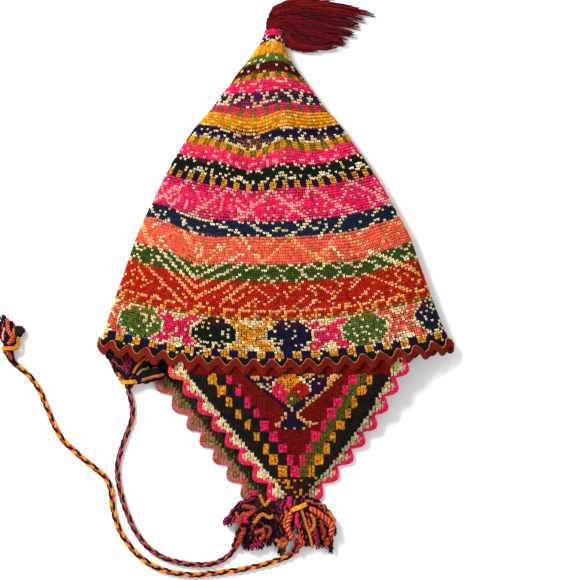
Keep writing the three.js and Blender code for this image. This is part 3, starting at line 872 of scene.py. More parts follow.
def stitches(name, places, across, along, up, colours, cells, material, form=V_STITCH):
    """A joined field of stitches: across, along and up carry the size of each, cells its place in the bake"""
    shape = np.vstack(form)
    count, size = len(places), len(shape)
    scale = 1 + STITCH_JITTER * rng.standard_normal((count, 1, 1))
    lean = STITCH_LEAN * rng.standard_normal((count, 1, 1))
    offset = (shape[None, :, 0:1] + lean * shape[None, :, 1:2]) * across[:, None, :]
    offset = offset + shape[None, :, 1:2] * along[:, None, :] + shape[None, :, 2:3] * up[:, None, :]
    drift = STITCH_DRIFT * rng.standard_normal((2, count, 1))
    middle = places + drift[0] * across + drift[1] * along
    verts = middle[:, None, :] + scale * offset
    legs = np.vstack([GRAIN_TRIS + len(GRAIN_UV) * leg for leg in range(len(form))])
    tris = legs[None] + size * np.arange(count)[:, None, None]
    half_cell = GRAIN_UV * (0.5, 1)
    cell_uv = np.vstack([half_cell + (0.5 * leg, 0) for leg in range(len(form))])
    spread = np.array([cells[:, 0].max() + 1, cells[:, 1].max() + 1])
    uv = (cells[:, None, :] + cell_uv[None]) / spread
    corner_uv = uv.reshape(-1, 2)[tris.reshape(-1, 3)]
    return make_piece(name, verts, tris, material, np.repeat(colours, size, axis=0), corner_uv)


# A yarn's own column in the bake, in shares of it: margins, and how far its sides lie apart
YARN_UV_LEFT, YARN_UV_WIDE = 0.15, 0.7
YARN_UV_LOW, YARN_UV_TALL = 0.05, 0.9
YARN_UV_RISE = 0.04
YARN_END = 0.5


def tubes(name, paths, radii, sides, colours, material):
    """Round yarns along paths, each closed at both ends; colours are one to a yarn"""
    count, steps = paths.shape[:2]
    _, side, up = path_frame(paths)
    angle = (np.arange(sides) + 0.5) * 2 * np.pi / sides
    ends = np.ones(steps)
    ends[[0, -1]] = YARN_END
    radius = np.broadcast_to(np.asarray(radii, float).reshape(-1, 1), (count, steps)) * ends
    ring = np.cos(angle)[:, None] * side[:, :, None] + np.sin(angle)[:, None] * up[:, :, None]
    verts = paths[:, :, None] + ring * radius[:, :, None, None]
    one = np.vstack([ring_walls(steps, sides), end_fans(steps, sides)])
    tris = one[None] + steps * sides * np.arange(count)[:, None, None]
    u = YARN_UV_LEFT + YARN_UV_WIDE * np.arange(sides) / (sides - 1)
    v = YARN_UV_LOW + YARN_UV_TALL * np.arange(steps)[:, None] / (steps - 1)
    v = v + YARN_UV_RISE * np.sin(angle) / steps
    cell = np.stack(np.broadcast_arrays(u[None], v), axis=-1)
    column = np.stack([np.arange(count), np.zeros(count)], axis=1)
    uv = (cell.reshape(1, -1, 2) + column[:, None]) / (count, 1)
    corner_uv = uv.reshape(-1, 2)[tris.reshape(-1, 3)]
    return make_piece(name, verts, tris, material, np.repeat(colours, steps * sides, axis=0), corner_uv)


def twisted(path, radius, count, twist_mm, phase=0.0):
    """Paths of yarns lying round a middle path and turning about it"""
    _, side, up = path_frame(path)
    share = np.arange(count)[:, None] / count
    turn = phase + 2 * np.pi * (share + run_length(path)[None] / (twist_mm * MM))
    ring = np.cos(turn)[..., None] * side[None] + np.sin(turn)[..., None] * up[None]
    return path[None] + radius * ring


# Crown


def crown_values():
    """The crown's row table on a fine scale of levels, its corners rounded"""
    levels = np.arange(TIP_LEVEL, RIM_LEVEL + 0.5, 1.0)
    columns = []
    for column in CROWN_ROWS.T[1:]:
        fine = np.interp(levels, CROWN_ROWS[:, 0], column)
        padded = np.pad(fine, LEVEL_BLUR // 2, mode="reflect", reflect_type="odd")
        columns.append(np.convolve(padded, np.ones(LEVEL_BLUR) / LEVEL_BLUR, mode="valid"))
    return levels, columns


CROWN_LEVELS, CROWN_COLUMNS = crown_values()


def soft_bumps(table, x, y):
    return sum(h * np.exp(-((x - bx) / w) ** 2 - ((y - by) / t) ** 2) for bx, by, w, t, h in table)


def crown_plan(level, turn, inset):
    """Plan place and height of a point of the crown's wall; a quarter turn is the upper layer's middle"""
    left, right, rise, sag, lift = (np.interp(level, CROWN_LEVELS, column) for column in CROWN_COLUMNS)
    across = np.abs(np.sin(turn))
    upper = np.sin(turn) >= 0
    half = np.maximum((right - left) / 2 - inset / GRID_MM, 0.5)
    x = (left + right) / 2 + half * np.cos(turn)
    y = level + sag * across ** 2 * np.where(upper, 1, LOWER_SAG) / GRID_MM
    fold = FOLD_BASE + FOLD_SHARE * rise
    base = lift + inset
    bend = fold - base
    puffed = fold + (rise - inset - fold) * across ** PUFF
    upper_z = puffed + soft_bumps(CROWN_FOLDS, x, y) * across
    lower_z = base + np.maximum(0, bend - (bend + FLAT) * np.sqrt(across))
    return x, y, np.where(upper, upper_z, lower_z)


def crown_point(level, turn, inset):
    return plan(*crown_plan(level, turn, inset))


def knit_point(level, turn, inset):
    """A point of the crown's wall where the folds have drawn the courses up or down"""
    x, y, _ = crown_plan(level, turn, inset)
    drawn = soft_bumps(COURSE_SHIFTS, x, y) * np.sin(turn).clip(0, 1)
    return crown_point(level - drawn, turn, inset)


def even_turns(level, shares):
    """Turns at shares of the length round the crown, from the middle of the lower layer"""
    fine = np.linspace(-np.pi / 2, 1.5 * np.pi, 721)
    length = run_length(crown_point(level, fine, STITCH_INSET))
    return np.interp(shares * length[-1], length, fine), length[-1] / MM


def line_distance(x, y):
    """Distance on the plan grid from the nearest of the long slanting lines"""
    nearest = np.full(len(x), 1e3)
    for vx, vy, left_run, left_rise, right_run, right_rise, copies, spacing in SLANTING_LINES:
        for copy in range(copies):
            for run, rise in ((-left_run, -left_rise), (right_run, -right_rise)):
                size = run * run + rise * rise
                if size:
                    dx, dy = x - vx, y - vy - copy * spacing
                    share = np.clip((dx * run + dy * rise) / size, 0, 1)
                    nearest = np.minimum(nearest, np.hypot(dx - share * run, dy - share * rise))
    return nearest


def draw_lines(letters, ground, x, y):
    """Draw the slanting lines over a course, its own pattern left out beside them"""
    if ground not in LINE_YARNS:
        return letters
    distance = line_distance(x, y)
    letters = np.where(distance < LINE_CLEAR, ground, letters)
    return np.where(distance < LINE_REACH, LINE_YARNS[ground], letters)


def band_ground(chart):
    """The commonest yarn of a chart; the bold figures' band takes black, which darkens its backing between
    the stitches as painted shade
    """
    # Painted shade: black for the bold figures' band, so its backing reads dark between the stitches
    if chart is FIGURES:
        return "K"
    every = "".join(chart)
    return max(sorted(set(every)), key=every.count)


def band_letters(band, course, columns):
    """Yarn letters of one course of a band"""
    _, shift, fleck, share, mirrored, chart = band
    row = chart[len(chart) - 1 - course]
    place = columns - shift
    if mirrored:
        place = np.abs(place)
    letters = np.array(list(row))[place % len(row)]
    if chart is FIGURES:
        colours = np.array(list(FIGURE_COLOURS))
        half_pair = FIGURE_PAIR // 2
        oval = 2 * ((place + half_pair - OVAL_MIDDLE) // FIGURE_PAIR)
        cross = 2 * ((place + half_pair - CROSS_MIDDLE) // FIGURE_PAIR) + 1
        letters = np.where(letters == "o", colours[oval % len(colours)],
                           np.where(letters == "x", colours[cross % len(colours)], "W"))
    if course in (0, len(chart) - 1) and band_ground(chart) in DARK_GROUNDS and len(chart) > 3:
        share = share + BORDER_FLECKS
    return np.where(rng.random(len(columns)) < share, fleck, letters)


def crown_courses():
    """Places, frames, yarn letters and columns of every stitch of the crown, course by course"""
    rows = []
    below = RIM_LEVEL
    course_index = 0
    for band in BANDS:
        top, chart = band[0], band[-1]
        repeat = max(len(row) for row in chart)
        _, around = even_turns((below + top) / 2, np.array([0.0]))
        count = max(round(around / WALE / repeat), 1) * repeat
        for course in range(len(chart)):
            level = below + (top - below) * (course + 0.5) / len(chart)
            tall = (below - top) / len(chart) * GRID_MM * MM
            shares = (np.arange(count) + 0.5) / count
            turns, _ = even_turns(level, shares)
            before, _ = even_turns(level, shares - 0.5 / count)
            after, _ = even_turns(level, shares + 0.5 / count)
            place = knit_point(level, turns, STITCH_INSET)
            across = knit_point(level, before, STITCH_INSET) - knit_point(level, after, STITCH_INSET)
            lower = knit_point(level + 0.5, turns, STITCH_INSET)
            along = knit_point(level - 0.5, turns, STITCH_INSET) - lower
            up = unit(np.cross(across, along)) * STITCH_RISE * MM
            columns = count - 1 - np.arange(count) - count // 2
            letters = band_letters(band, course, columns)
            x = place[:, 0] / MM / GRID_MM + MID_X
            y = MID_Y - place[:, 1] / MM / GRID_MM
            upper = np.sin(turns) >= 0
            letters = np.where(upper, draw_lines(letters, band_ground(chart), x, y), letters)
            cells = np.stack([columns - columns.min(), np.full(count, course_index)], axis=1)
            rows.append((place, across, unit(along) * tall, up, letters, cells, upper))
            course_index += 1
        below = top
    return [np.concatenate(column) for column in zip(*rows)]


def course_yarns():
    """Level and ground yarn of each band's middle, for the backing seen between the stitches"""
    levels, letters = [], []
    below = RIM_LEVEL
    for band in BANDS:
        levels.append((below + band[0]) / 2)
        letters.append(band_ground(band[-1]))
        below = band[0]
    return np.array(levels)[::-1], np.array([YARN_LINEAR[letter] for letter in letters])[::-1]


def make_crown_wall():
    """The crown's backing: a closed wall, hollow inside and open at the rim, its band colours darkened as
    painted shade
    """
    turns = (np.arange(WALL_TURNS) + 0.5) * 2 * np.pi / WALL_TURNS
    outer = np.linspace(TIP_LEVEL, RIM_LEVEL, WALL_ROWS)
    inner = np.linspace(RIM_LEVEL, HOLLOW_TOP, WALL_ROWS)
    rings = [crown_point(level, turns, BACKING_INSET) for level in outer]
    rings += [crown_point(level, turns, WALL) for level in inner]
    levels = np.concatenate([outer, inner])
    verts = np.vstack(rings + [rings[0].mean(axis=0)[None], rings[-1].mean(axis=0)[None]])
    first, last = len(rings) * WALL_TURNS, (len(rings) - 1) * WALL_TURNS
    k = np.arange(WALL_TURNS)
    n = (k + 1) % WALL_TURNS
    tip = np.stack([np.full(WALL_TURNS, first), n, k], axis=1)
    hollow = np.stack([np.full(WALL_TURNS, first + 1), last + k, last + n], axis=1)
    tris = np.vstack([ring_walls(len(rings), WALL_TURNS), tip, hollow])
    band_levels, band_colours = course_yarns()
    nearest = np.abs(levels[:, None] - band_levels[None]).argmin(axis=1)
    # Painted shade: the outer wall, seen between the stitches, at half the band colour; the hollow inside at
    # a quarter
    shade = np.where(np.arange(len(levels)) < WALL_ROWS, BACKING_PAINTED_SHADE, HOLLOW_PAINTED_SHADE)[:, None]
    shade = shade * band_colours[nearest]
    colours = np.vstack([np.repeat(shade, WALL_TURNS, axis=0), shade[:1], shade[-1:]])
    wall = make_piece("crown_wall", verts, tris, BACKING_WOOL, colours)
    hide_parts("crown")


def make_crown_knit():
    """Stitches of the crown: one field for the upper layer, one for the layer it lies on"""
    places, across, along, up, letters, cells, upper = crown_courses()
    colours = yarn_colours(letters)
    for name, chosen in (("crown_knit_front", upper), ("crown_knit_back", ~upper)):
        start = cells[chosen].min(axis=0)
        field = stitches(name, places[chosen], across[chosen], along[chosen], up[chosen], colours[chosen],
                         cells[chosen] - start, KNIT_WOOL)


# Ribbons


def ribbon(name, middle, side, up, width, thick, yarns, edge_yarns, columns, endless, node):
    """A knitted ribbon: stitch columns on a soft band and a cord on each edge; yarns change along it"""
    along = np.gradient(middle, axis=0)
    if endless:
        along = (np.roll(middle, -1, axis=0) - np.roll(middle, 1, axis=0)) / 2
    angle = (np.arange(RIBBON_SIDES) + 0.5) * 2 * np.pi / RIBBON_SIDES
    section = np.stack([np.cos(angle) * width / 2, np.sin(angle) * thick / 2], axis=1) * MM
    rings = middle[:, None] + section[None, :, :1] * side[:, None] + section[None, :, 1:] * up[:, None]
    steps = len(middle)
    tris = ring_walls(steps, RIBBON_SIDES, endless)
    if not endless:
        tris = np.vstack([tris, end_fans(steps, RIBBON_SIDES)])
    stretch = np.array([YARN_LINEAR[yarns[i * len(yarns) // steps]] for i in range(steps)])
    # Painted shade: the band seen between the ribbon's stitches is darkened
    colours = np.repeat(RIBBON_PAINTED_SHADE * stretch, RIBBON_SIDES, axis=0)
    band = make_piece(name, rings, tris, RIBBON_WOOL, colours)
    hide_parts(node)
    length = run_length(middle)
    rows = int(length[-1] / (RIBBON_ROW * MM))
    even = (np.arange(rows) + 0.5) / rows * length[-1]
    row_middle = at_lengths(even, length, middle)
    row_side, row_up, row_along = (unit(at_lengths(even, length, way)) for way in (side, up, along))
    offsets = (np.arange(columns) - (columns - 1) / 2) * width / columns
    surface = row_up * (thick / 2 - RIBBON_STITCH_SINK) * MM
    place = np.concatenate([row_middle + row_side * offset * MM + surface for offset in offsets])
    letters = [yarns[i * len(yarns) // rows] for i in range(rows)] * columns
    cells = np.stack([np.repeat(np.arange(columns), rows), np.tile(np.arange(rows), columns)], axis=1)
    field = stitches(
        name + "_knit", place,
        np.tile(row_side * width / columns * MM, (columns, 1)),
        np.tile(row_along * RIBBON_ROW * MM, (columns, 1)),
        np.tile(row_up * RIBBON_STITCH_RISE * MM, (columns, 1)),
        yarn_colours(letters), cells, RIBBON_WOOL)
    edges = np.stack([middle + s * side * (width / 2) * MM for s in (-1, 1)])
    if endless:
        edges = np.concatenate([edges, edges[:, :1]], axis=1)
    colours = yarn_colours(edge_yarns)
    cords = tubes(name + "_edge", edges, EDGE_CORD * MM, EDGE_CORD_SIDES, colours, RIBBON_WOOL)
    return [band, field, cords]


def make_rim_edging():
    """The wavy red ribbon round the rim"""
    shares = np.arange(RIM_STEPS) / RIM_STEPS
    fine = np.linspace(0, 2 * np.pi, 1441)
    length = run_length(crown_point(RIM_LEVEL, fine, 0))
    turns = np.interp(shares * length[-1], length, fine)
    swing = RIM_SWING * np.sin(2 * np.pi * RIM_WAVES * shares)

    def rim_point(height, inset):
        level = RIM_LEVEL - height / GRID_MM
        beyond = np.maximum(level - RIM_LEVEL, 0)
        x, y, z = crown_plan(np.minimum(level, RIM_LEVEL), turns, inset)
        return plan(x, y + beyond, z)

    middle = rim_point(swing, RIM_MIDDLE)
    side = unit(rim_point(swing + 1, RIM_MIDDLE) - rim_point(swing - 1, RIM_MIDDLE))
    up = unit(rim_point(swing, RIM_MIDDLE - 1) - rim_point(swing, RIM_MIDDLE + 1))
    ribbon("rim_ribbon", middle, side, up, RIM_RIBBON, RIM_THICK, "Q", "QI", columns=3, endless=True,
           node="rim_edging")


# Ear flaps


def edge_row(flap, share):
    return [np.interp(share, flap["edges"][:, 0], flap["edges"][:, i]) for i in range(1, 5)]


def rim_underside(x, upper):
    """Plan y and height of the underside of the crown's rim at a plan x"""
    left, right = CROWN_ROWS[-1, 1:3]
    cosine = np.clip((2 * x - left - right) / (right - left), -1, 1)
    turn = np.arccos(cosine) * (1 if upper else -1)
    _, y, z = crown_plan(RIM_LEVEL, turn, 0)
    return y, z - (WALL if upper else 0)


def flap_place(flap, across, share, out, height):
    """A point of a flap: across from left to right, share from root to tip, out past an edge in mm"""
    across, share, out = np.broadcast_arrays(np.asarray(across, float), share, out)
    left_x, left_y, right_x, right_y = edge_row(flap, share)
    root, tip = flap["edges"][0], flap["edges"][-1]
    at_left = across < 0.5
    sign = np.where(at_left, -1, 1)
    run_x = np.where(at_left, tip[1] - root[1], tip[3] - root[3])
    run_y = np.where(at_left, tip[2] - root[2], tip[4] - root[4])
    size = np.hypot(run_x, run_y)
    width = np.hypot(right_x - left_x, right_y - left_y) * GRID_MM
    reach = across + sign * out / width
    root_y, root_z = rim_underside(root[1] + (root[3] - root[1]) * reach, flap["upper"])
    chord_y = root[2] + (root[4] - root[2]) * reach
    x = left_x + (right_x - left_x) * across + sign * out / GRID_MM * run_y / size
    straight_y = left_y + (right_y - left_y) * across - sign * out / GRID_MM * run_x / size
    fall = straight_y + (root_y - chord_y) * (1 - share)
    y = np.maximum(fall, rim_underside(x, flap["upper"])[0]) + FLAP_ROOT_GAP / GRID_MM
    settle = smoothstep(np.clip((1 - reach) * width, 0, flap["droop"]), 0, flap["droop"])
    rest = flap["edge_rest"] + (flap["rest"] - flap["edge_rest"]) * settle
    fallen = smoothstep(share, flap["fall_from"], flap["fall_to"])
    return x, y, root_z + (rest - root_z) * fallen + height


def flap_point(flap, across, share, out, height):
    return plan(*flap_place(flap, across, share, out, height))


def flap_wave(share):
    return FLAP_SWING * np.cos(2 * np.pi * (FLAP_WAVES * share - FLAP_WAVE_LAG))


def flap_edge(share):
    return flap_wave(share) - FLAP_RIBBON / 2 - GAP


def make_flap_wall(name, flap, yarn, node):
    """The flap's backing: a closed slab that follows the inner side of the wavy ribbons"""
    down, along = np.linspace(0, 1, FLAP_WALL_ROWS), np.linspace(0, 1, FLAP_COLUMNS)
    share, across = np.meshgrid(down, along, indexing="ij")
    out = flap_edge(share) * np.abs(1 - 2 * across)
    top = flap_point(flap, across, share, out, WALL - BACKING_INSET)
    bottom = flap_point(flap, across, share, out, 0)
    rows, columns = share.shape
    index = np.arange(rows * columns).reshape(rows, columns)
    low = index + rows * columns
    loop = np.concatenate([index[0], index[1:, -1], index[-1, -2::-1], index[-2:0:-1, 0]])
    after = np.roll(loop, -1)
    tris = np.vstack([
        quads(index[:-1, :-1], index[:-1, 1:], index[1:, 1:], index[1:, :-1]),
        quads(low[:-1, :-1], low[1:, :-1], low[1:, 1:], low[:-1, 1:]),
        quads(loop, loop + rows * columns, after + rows * columns, after),
    ])
    verts = np.vstack([top.reshape(-1, 3), bottom.reshape(-1, 3)])
    # Painted shade: the slab seen between the flap's stitches at half its yarn colour
    colours = np.repeat(YARN_LINEAR[yarn][None] * BACKING_PAINTED_SHADE, len(verts), axis=0)
    wall = make_piece(name, verts, tris, BACKING_WOOL, colours)
    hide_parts(node)
    return wall


def check_letters(letters, x, y, checks):
    """Stepped checks beside one edge of the front flap"""
    step = np.floor((y - CHECK_TOP) / CHECK_TALL)
    filled = (y - CHECK_TOP) / CHECK_TALL - step > CHECK_GAP
    ochre = checks["ochre"] + checks["step"] * step
    pink = ochre + checks["to_pink"]
    outward = -np.sign(checks["to_pink"])
    inner = (x - pink) * outward
    letters = np.where(inner > 0, checks["between"], letters)
    letters = np.where((x - ochre) * outward > 0, "K", letters)
    letters = np.where(filled & (np.abs(x - ochre) < CHECK_HALF), "O", letters)
    return np.where(filled & (np.abs(x - pink) < CHECK_HALF), "P", letters)


def front_flap_letters(x, y):
    """Yarn letters of the front flap from plan places"""
    letters = np.full(x.shape, "D")
    column = np.round((x - CUP_CENTRE_X) / CUP_STITCH[0]).astype(int) + len(CUP[0]) // 2
    row = np.round((y - CUP_TOP_Y) / CUP_STITCH[1]).astype(int)
    inside = (column >= 0) & (column < len(CUP[0])) & (row >= 0) & (row < len(CUP))
    chart = np.array([list(line) for line in CUP])
    letters[inside] = chart[row[inside], column[inside]]
    below = y > CHECK_TOP
    for checks in (LEFT_CHECKS, RIGHT_CHECKS):
        letters = np.where(below, check_letters(letters, x, y, checks), letters)
    left = np.interp(y, *np.array(LEFT_CREAM, float).T)
    right = np.interp(y, *np.array(RIGHT_CREAM, float).T)
    letters = np.where(y < FLAP_TOP_STRIP, "D", letters)
    specks = np.where(rng.random(x.shape) < TIP_SPECKS, "O", "K")
    letters = np.where(y > TIP_DARK_FROM, specks, letters)
    return np.where((x < left) | (x > right), "W", letters)


def back_flap_letters(x, y):
    """Yarn letters of the back flap's wrong side: mixed floats of olive, tan and rust, then black"""
    pick = rng.random(x.shape)
    letters = np.where(pick < 0.5, "T", np.where(pick < 0.72, "V", np.where(pick < 0.9, "I", "F")))
    left = np.interp(y, BACK_FLAP["edges"][:, 2], BACK_FLAP["edges"][:, 1])
    return np.where(x > left + BACK_TAN, "K", letters)


def make_flap_knit(name, flap, letters_at, form):
    """Stitches of a flap: upright columns on the plan, their ends cut to the wavy edges"""
    places, across_v, along_v, up_v, letters, cells = [], [], [], [], [], []
    tip_x = (flap["edges"][-1][1] + flap["edges"][-1][3]) / 2
    pitch = WALE / GRID_MM
    for row in range(FLAP_ROWS):
        share = (row + 0.5) / FLAP_ROWS
        left_x, _, right_x, _ = edge_row(flap, share)
        margin = (-flap_edge(share) - FLAP_STITCH_REACH) / GRID_MM * FLAP_EDGE_SLANT
        first = math.ceil((left_x + margin - tip_x) / pitch)
        last = math.floor((right_x - margin - tip_x) / pitch)
        columns = np.arange(first, last + 1)
        across = (tip_x + columns * pitch - left_x) / (right_x - left_x)
        step_a, step_s = 0.5 * pitch / (right_x - left_x), 0.5 / FLAP_ROWS
        rise = WALL - STITCH_INSET
        x, y, z = flap_place(flap, across, share, 0.0, rise)
        left = flap_point(flap, across - step_a, share, 0.0, rise)
        side = flap_point(flap, across + step_a, share, 0.0, rise) - left
        down = plan(x, y + 1, z) - plan(x, y - 1, z)
        ahead = flap_point(flap, across, min(share + step_s, 1), 0.0, rise)
        behind = flap_point(flap, across, max(share - step_s, 0), 0.0, rise)
        down = unit(down) * np.linalg.norm(ahead - behind, axis=1, keepdims=True)
        down[:, 2] = (ahead - behind)[:, 2]
        places.append(plan(x, y, z))
        across_v.append(side)
        along_v.append(-down)
        up_v.append(unit(np.cross(side, -down)) * STITCH_RISE * MM)
        letters.append(letters_at(x, y))
        cells.append(np.stack([columns, np.full(len(columns), row)], axis=1))
    cells = np.concatenate(cells)
    field = stitches(name, np.concatenate(places), np.concatenate(across_v), np.concatenate(along_v),
                     np.concatenate(up_v), yarn_colours(np.concatenate(letters)), cells - cells.min(axis=0),
                     KNIT_WOOL, form)
    return field


def make_flap_edging(node, flap, across, yarns, edge_yarns):
    """The wavy ribbon on one edge of a flap"""
    share = np.linspace(1 / (4 * FLAP_WAVES), 1, RIBBON_STEPS)
    swing = flap_wave(share)
    middle = flap_point(flap, across, share, swing, WALL / 2)
    before = flap_point(flap, across, share, swing - 1, WALL / 2)
    side = unit(flap_point(flap, across, share, swing + 1, WALL / 2) - before)
    along = unit(np.gradient(middle, axis=0))
    up = unit(np.cross(side, along))
    up = up * np.sign(up[:, 2:])
    side = unit(np.cross(along, up))
    return ribbon(node + "_ribbon", middle, side, up, FLAP_RIBBON, FLAP_RIBBON_THICK, yarns, edge_yarns,
                  columns=2, endless=False, node=node)


def make_flaps():
    """Both ear flaps, each with its stitches and ribbons"""
    front = make_flap_wall("flap_front_wall", FRONT_FLAP, "D", "flap_front")
    front_pieces = [make_flap_knit("flap_front_knit", FRONT_FLAP, front_flap_letters, V_STITCH)]
    for node, across, yarns in (
        ("flap_front_edging_left", 0.0, "CPPPPPP"),
        ("flap_front_edging_right", 1.0, "P"),
    ):
        front_pieces += make_flap_edging(node, FRONT_FLAP, across, yarns, "PP")
    back = make_flap_wall("flap_back_wall", BACK_FLAP, "T", "flap_back")
    back_pieces = [make_flap_knit("flap_back_knit", BACK_FLAP, back_flap_letters, PURL_STITCH)]
    for node, across in (("flap_back_edging_left", 0.0), ("flap_back_edging_right", 1.0)):
        back_pieces += make_flap_edging(node, BACK_FLAP, across, "FJFFTFFJFTF" * 3, "FH")


# Tassels and bindings


def lock_paths(start, lock, strands, steps, curl):
    """Loose strands of one lock of yarn, from its start to its end"""
    bend = plan(*lock[0:3])
    end = plan(*lock[3:6])
    share = np.linspace(0, 1, steps)[None, :, None]
    reach = rng.uniform(*LOCK_REACH, (strands, 1, 1))
    t = share * reach
    middle = (1 - t) ** 2 * start + 2 * t * (1 - t) * bend + t ** 2 * end
    _, side, up = path_frame(middle)
    radius = (lock[6] + (lock[7] - lock[6]) * t) * MM
    out = np.sqrt(rng.random((strands, 1, 1))) * LOCK_FULL
    turn = 2 * np.pi * rng.random((strands, 1, 1))
    turn = turn + LOCK_TURN * t * rng.standard_normal((strands, 1, 1))
    waves = t * rng.uniform(*LOCK_WAVES, (strands, 1, 1))
    wave = curl * np.sin(2 * np.pi * (waves + rng.random((strands, 1, 1))))
    paths = middle + radius * ((out * np.cos(turn) + wave) * side + out * np.sin(turn) * up)
    paths[..., 2] = np.maximum(paths[..., 2], STRAND_RADIUS * MM)
    return paths


def neck_paths(neck, strands, steps):
    """Strands drawn together in a tassel's neck"""
    neck = np.array(neck)
    middle = smooth_curve(plan(neck[:, 0], neck[:, 1], neck[:, 2]), steps)
    radius = np.interp(np.linspace(0, 1, steps), np.linspace(0, 1, len(neck)), neck[:, 3])
    around = twisted(middle, 1.0, strands, NECK_TWIST) - middle[None]
    around = around * ((radius - STRAND_RADIUS) * MM)[None, :, None]
    around[..., 2] *= NECK_FLAT
    return middle[None] + around


def make_tassel(node, shape, strands, strand_radius, curl=LOCK_CURL):
    """A tassel of loose yarn: a drawn neck, locks of strands and ropes of coloured yarn on top"""
    root = plan(*shape["neck"][-1][:3])
    paths = []
    for lock in shape["locks"]:
        start = root + LOCK_START * (plan(*lock[0:3]) - root)
        paths.append(lock_paths(start, lock, strands, LOCK_STEPS, curl))
    for fall in shape["falls"]:
        paths.append(lock_paths(plan(*fall[0:3]), fall[3:], strands, LOCK_STEPS, curl))
    paths.append(neck_paths(shape["neck"], NECK_STRANDS, LOCK_STEPS))
    paths = np.concatenate(paths)
    letters = rng.choice(list(shape["yarns"]), len(paths))
    colours = yarn_colours(letters)
    body = tubes(node + "_yarn", paths, strand_radius * MM, STRAND_SIDES, colours, TASSEL_WOOL)
    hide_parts(node)
    pieces = [body]
    if shape["ropes"]:
        rope_yarns, rope_letters, rope_radii = [], [], []
        for letter, height, radius, places in shape["ropes"]:
            flat = np.array(places, float)
            middle = smooth_curve(plan(flat[:, 0], flat[:, 1], height), ROPE_STEPS)
            bends = np.linspace(0, ROPE_BENDS, ROPE_STEPS)[:, None]
            middle = middle + ROPE_SWAY * MM * np.sin(bends + ROPE_PHASE * rng.random((1, 3)))
            phase = rng.random() * ROPE_PHASE
            yarns = twisted(middle, ROPE_RING * radius * MM, ROPE_STRANDS, ROPE_TWIST * radius, phase)
            rope_yarns.append(yarns)
            rope_letters += [letter, DARKER.get(letter, letter)] * (ROPE_STRANDS // 2)
            rope_radii += [ROPE_YARN * radius * MM] * ROPE_STRANDS
        ropes = tubes(node + "_ropes", np.concatenate(rope_yarns), rope_radii, ROPE_SIDES,
                      ROPE_SHADE * yarn_colours(rope_letters), TASSEL_WOOL)
        pieces.append(ropes)
    return pieces


def make_binding(node):
    """Orange yarn wound round a tassel's neck"""
    x, y, z, ring_radius, yarn_radius, heading = BINDINGS[node]
    angle = math.radians(heading)
    along = np.array([math.cos(angle), math.sin(angle), 0])
    side = np.array([-math.sin(angle), math.cos(angle), 0])
    turn = np.linspace(0, 2 * np.pi * BINDING_WRAPS, BINDING_STEPS * BINDING_WRAPS)
    drift = (turn / turn[-1] - 0.5) * BINDING_SPREAD * yarn_radius * MM
    ring = np.cos(turn)[:, None] * side + np.sin(turn)[:, None] * np.array([0, 0, BINDING_FLAT])
    path = plan(x, y, z) + ring * ring_radius * MM + drift[:, None] * along
    yarns = twisted(path, BINDING_PLY_RING * yarn_radius * MM, 2, BINDING_PLY_TWIST)
    radius = BINDING_PLY * yarn_radius * MM
    wound = tubes(node + "_yarn", yarns, radius, BINDING_SIDES, yarn_colours("XO"), BRAID_WOOL)
    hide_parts(node)
    return wound


# Braided ties


def make_tie(node, places, strands):
    """A braided tie: three strands of two yarns, crossing over each other along its route"""
    points = plan(*np.array(places).T)
    length = run_length(smooth_curve(points, ROUTE_STEPS))[-1]
    route = smooth_curve(points, int(length / (BRAID_STEP * MM)))
    _, side, up = path_frame(route)
    travel = np.linspace(0, length, len(route))
    paths, letters = [], []
    for strand, pair in enumerate(strands):
        phase = 2 * np.pi * (travel / (BRAID_PITCH * MM) + strand / len(strands))
        across = BRAID_SWING * np.sin(phase)
        lift = BRAID_DEPTH * np.sin(2 * phase)
        for yarn, letter in enumerate(pair):
            apart = BRAID_YARN_GAP * (2 * yarn - 1)
            offset = (across + apart)[:, None] * side + lift[:, None] * up
            paths.append(route + offset * MM)
            letters.append(letter)
    colours = yarn_colours(letters)
    braid = tubes(node + "_braid", np.stack(paths), BRAID_YARN * MM, BRAID_SIDES, colours, BRAID_WOOL)
    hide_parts(node)
    tuple(plan(*places[0]))


# Stage


def make_camera():
    """Camera straight above, its view the same square as the plan grid"""
    data = bpy.data.cameras.new("camera")
    data.sensor_width = SENSOR_MM
    data.lens = SENSOR_MM * CAMERA_HEIGHT / (VIEW_GRID * GRID_MM * MM)
    camera = bpy.data.objects.new("camera", data)
    centre = plan(VIEW_CENTRE[0], VIEW_CENTRE[1], 0)
    camera.location = (centre[0], centre[1], CAMERA_HEIGHT)
    bpy.context.scene.collection.objects.link(camera)
    bpy.context.scene.camera = camera


# Matt paper: pale, with a faint cloud of pulp about 17 mm wide
PAPER_ROUGHNESS = 0.95
PAPER_TONES = {"To Min": 0.93, "To Max": 0.97}
PULP = {"Scale": 60.0, "Detail": 2.0}
FLOOR_REACH = 6.0
FLOOR_CORNERS = ((-1, -1), (1, -1), (1, 1), (-1, 1))
SKY_STRENGTH = 0.6


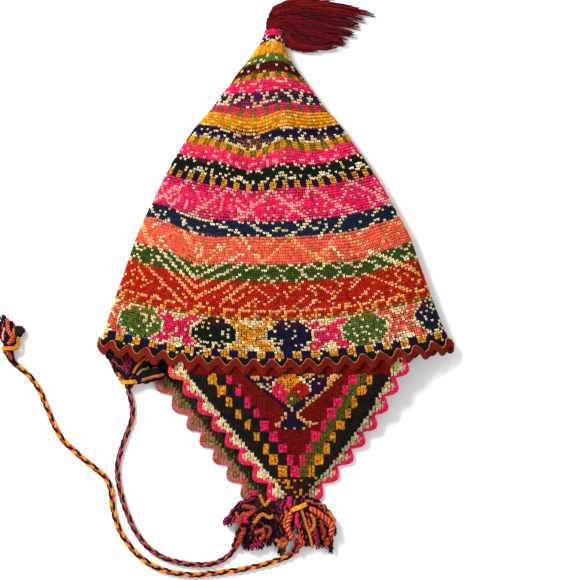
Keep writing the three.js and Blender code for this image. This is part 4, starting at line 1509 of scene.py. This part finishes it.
def make_floor():
    """A plain pale matt floor"""
    material = bpy.data.materials.new("pale_matt_paper")
    material.use_nodes = True
    tree = material.node_tree
    shader = tree.nodes["Principled BSDF"]
    shader.inputs["Roughness"].default_value = PAPER_ROUGHNESS
    place = add_node(tree, "ShaderNodeTexCoord")
    pulp = add_node(tree, "ShaderNodeTexNoise", PULP, {"Vector": (place, "Object")})
    tone = add_node(tree, "ShaderNodeMapRange", PAPER_TONES, {"Value": (pulp, "Fac")})
    tree.links.new(tone.outputs["Result"], shader.inputs["Base Color"])
    mesh = bpy.data.meshes.new("floor")
    corners = [(FLOOR_REACH * x, FLOOR_REACH * y, 0) for x, y in FLOOR_CORNERS]
    mesh.from_pydata(corners, [], [(0, 1, 2, 3)])
    mesh.materials.append(material)
    floor = bpy.data.objects.new("floor", mesh)
    bpy.context.scene.collection.objects.link(floor)


def make_lights():
    """Soft studio light: a large lamp above and to the left, a fill, and a pale sky"""
    for name, place, size, power in (
        ("key_softbox", (-0.8, 0.7, 1.0), 0.5, 30.0),
        ("fill_softbox", (0.9, -0.4, 1.2), 1.2, 6.0),
    ):
        data = bpy.data.lights.new(name, "AREA")
        data.size = size
        data.energy = power
        lamp = bpy.data.objects.new(name, data)
        lamp.location = place
        direction = -np.array(place)
        lamp.rotation_euler = (math.atan2(math.hypot(*direction[:2]), -direction[2]), 0,
                               math.atan2(direction[0], -direction[1]) + math.pi)
        bpy.context.scene.collection.objects.link(lamp)
    world = bpy.data.worlds.new("pale_sky")
    world.use_nodes = True
    background = world.node_tree.nodes["Background"]
    background.inputs["Color"].default_value = (1, 1, 1, 1)
    background.inputs["Strength"].default_value = SKY_STRENGTH
    bpy.context.scene.world = world
    bpy.context.scene.view_settings.view_transform = "Standard"


def make_ties():
    """Both braided ties with what hangs on their ends"""
    for tie, shape, places, strands in (
        ("tie_front", FRONT_END_TASSEL, TIE_FRONT, FRONT_BRAID),
        ("tie_back", BACK_END_TASSEL, TIE_BACK, BACK_BRAID),
    ):
        pieces = make_tassel(tie + "_end_tassel", shape, LOCK_STRANDS, STRAND_RADIUS)
        pieces.append(make_binding(tie + "_end_binding"))
        make_tie(tie, places, strands)


make_camera()
make_ties()
make_crown_wall()
make_crown_knit()
make_rim_edging()
make_flaps()
make_tassel("crown_tassel", CROWN_TASSEL, CROWN_LOCK_STRANDS, CROWN_STRAND_RADIUS,
            CROWN_LOCK_CURL)
make_tassel("flap_front_tassel", FRONT_TASSEL, LOCK_STRANDS, STRAND_RADIUS)
make_tassel("flap_back_tassel", BACK_TASSEL, LOCK_STRANDS, STRAND_RADIUS)
make_binding("flap_front_binding")
make_floor()
make_lights()
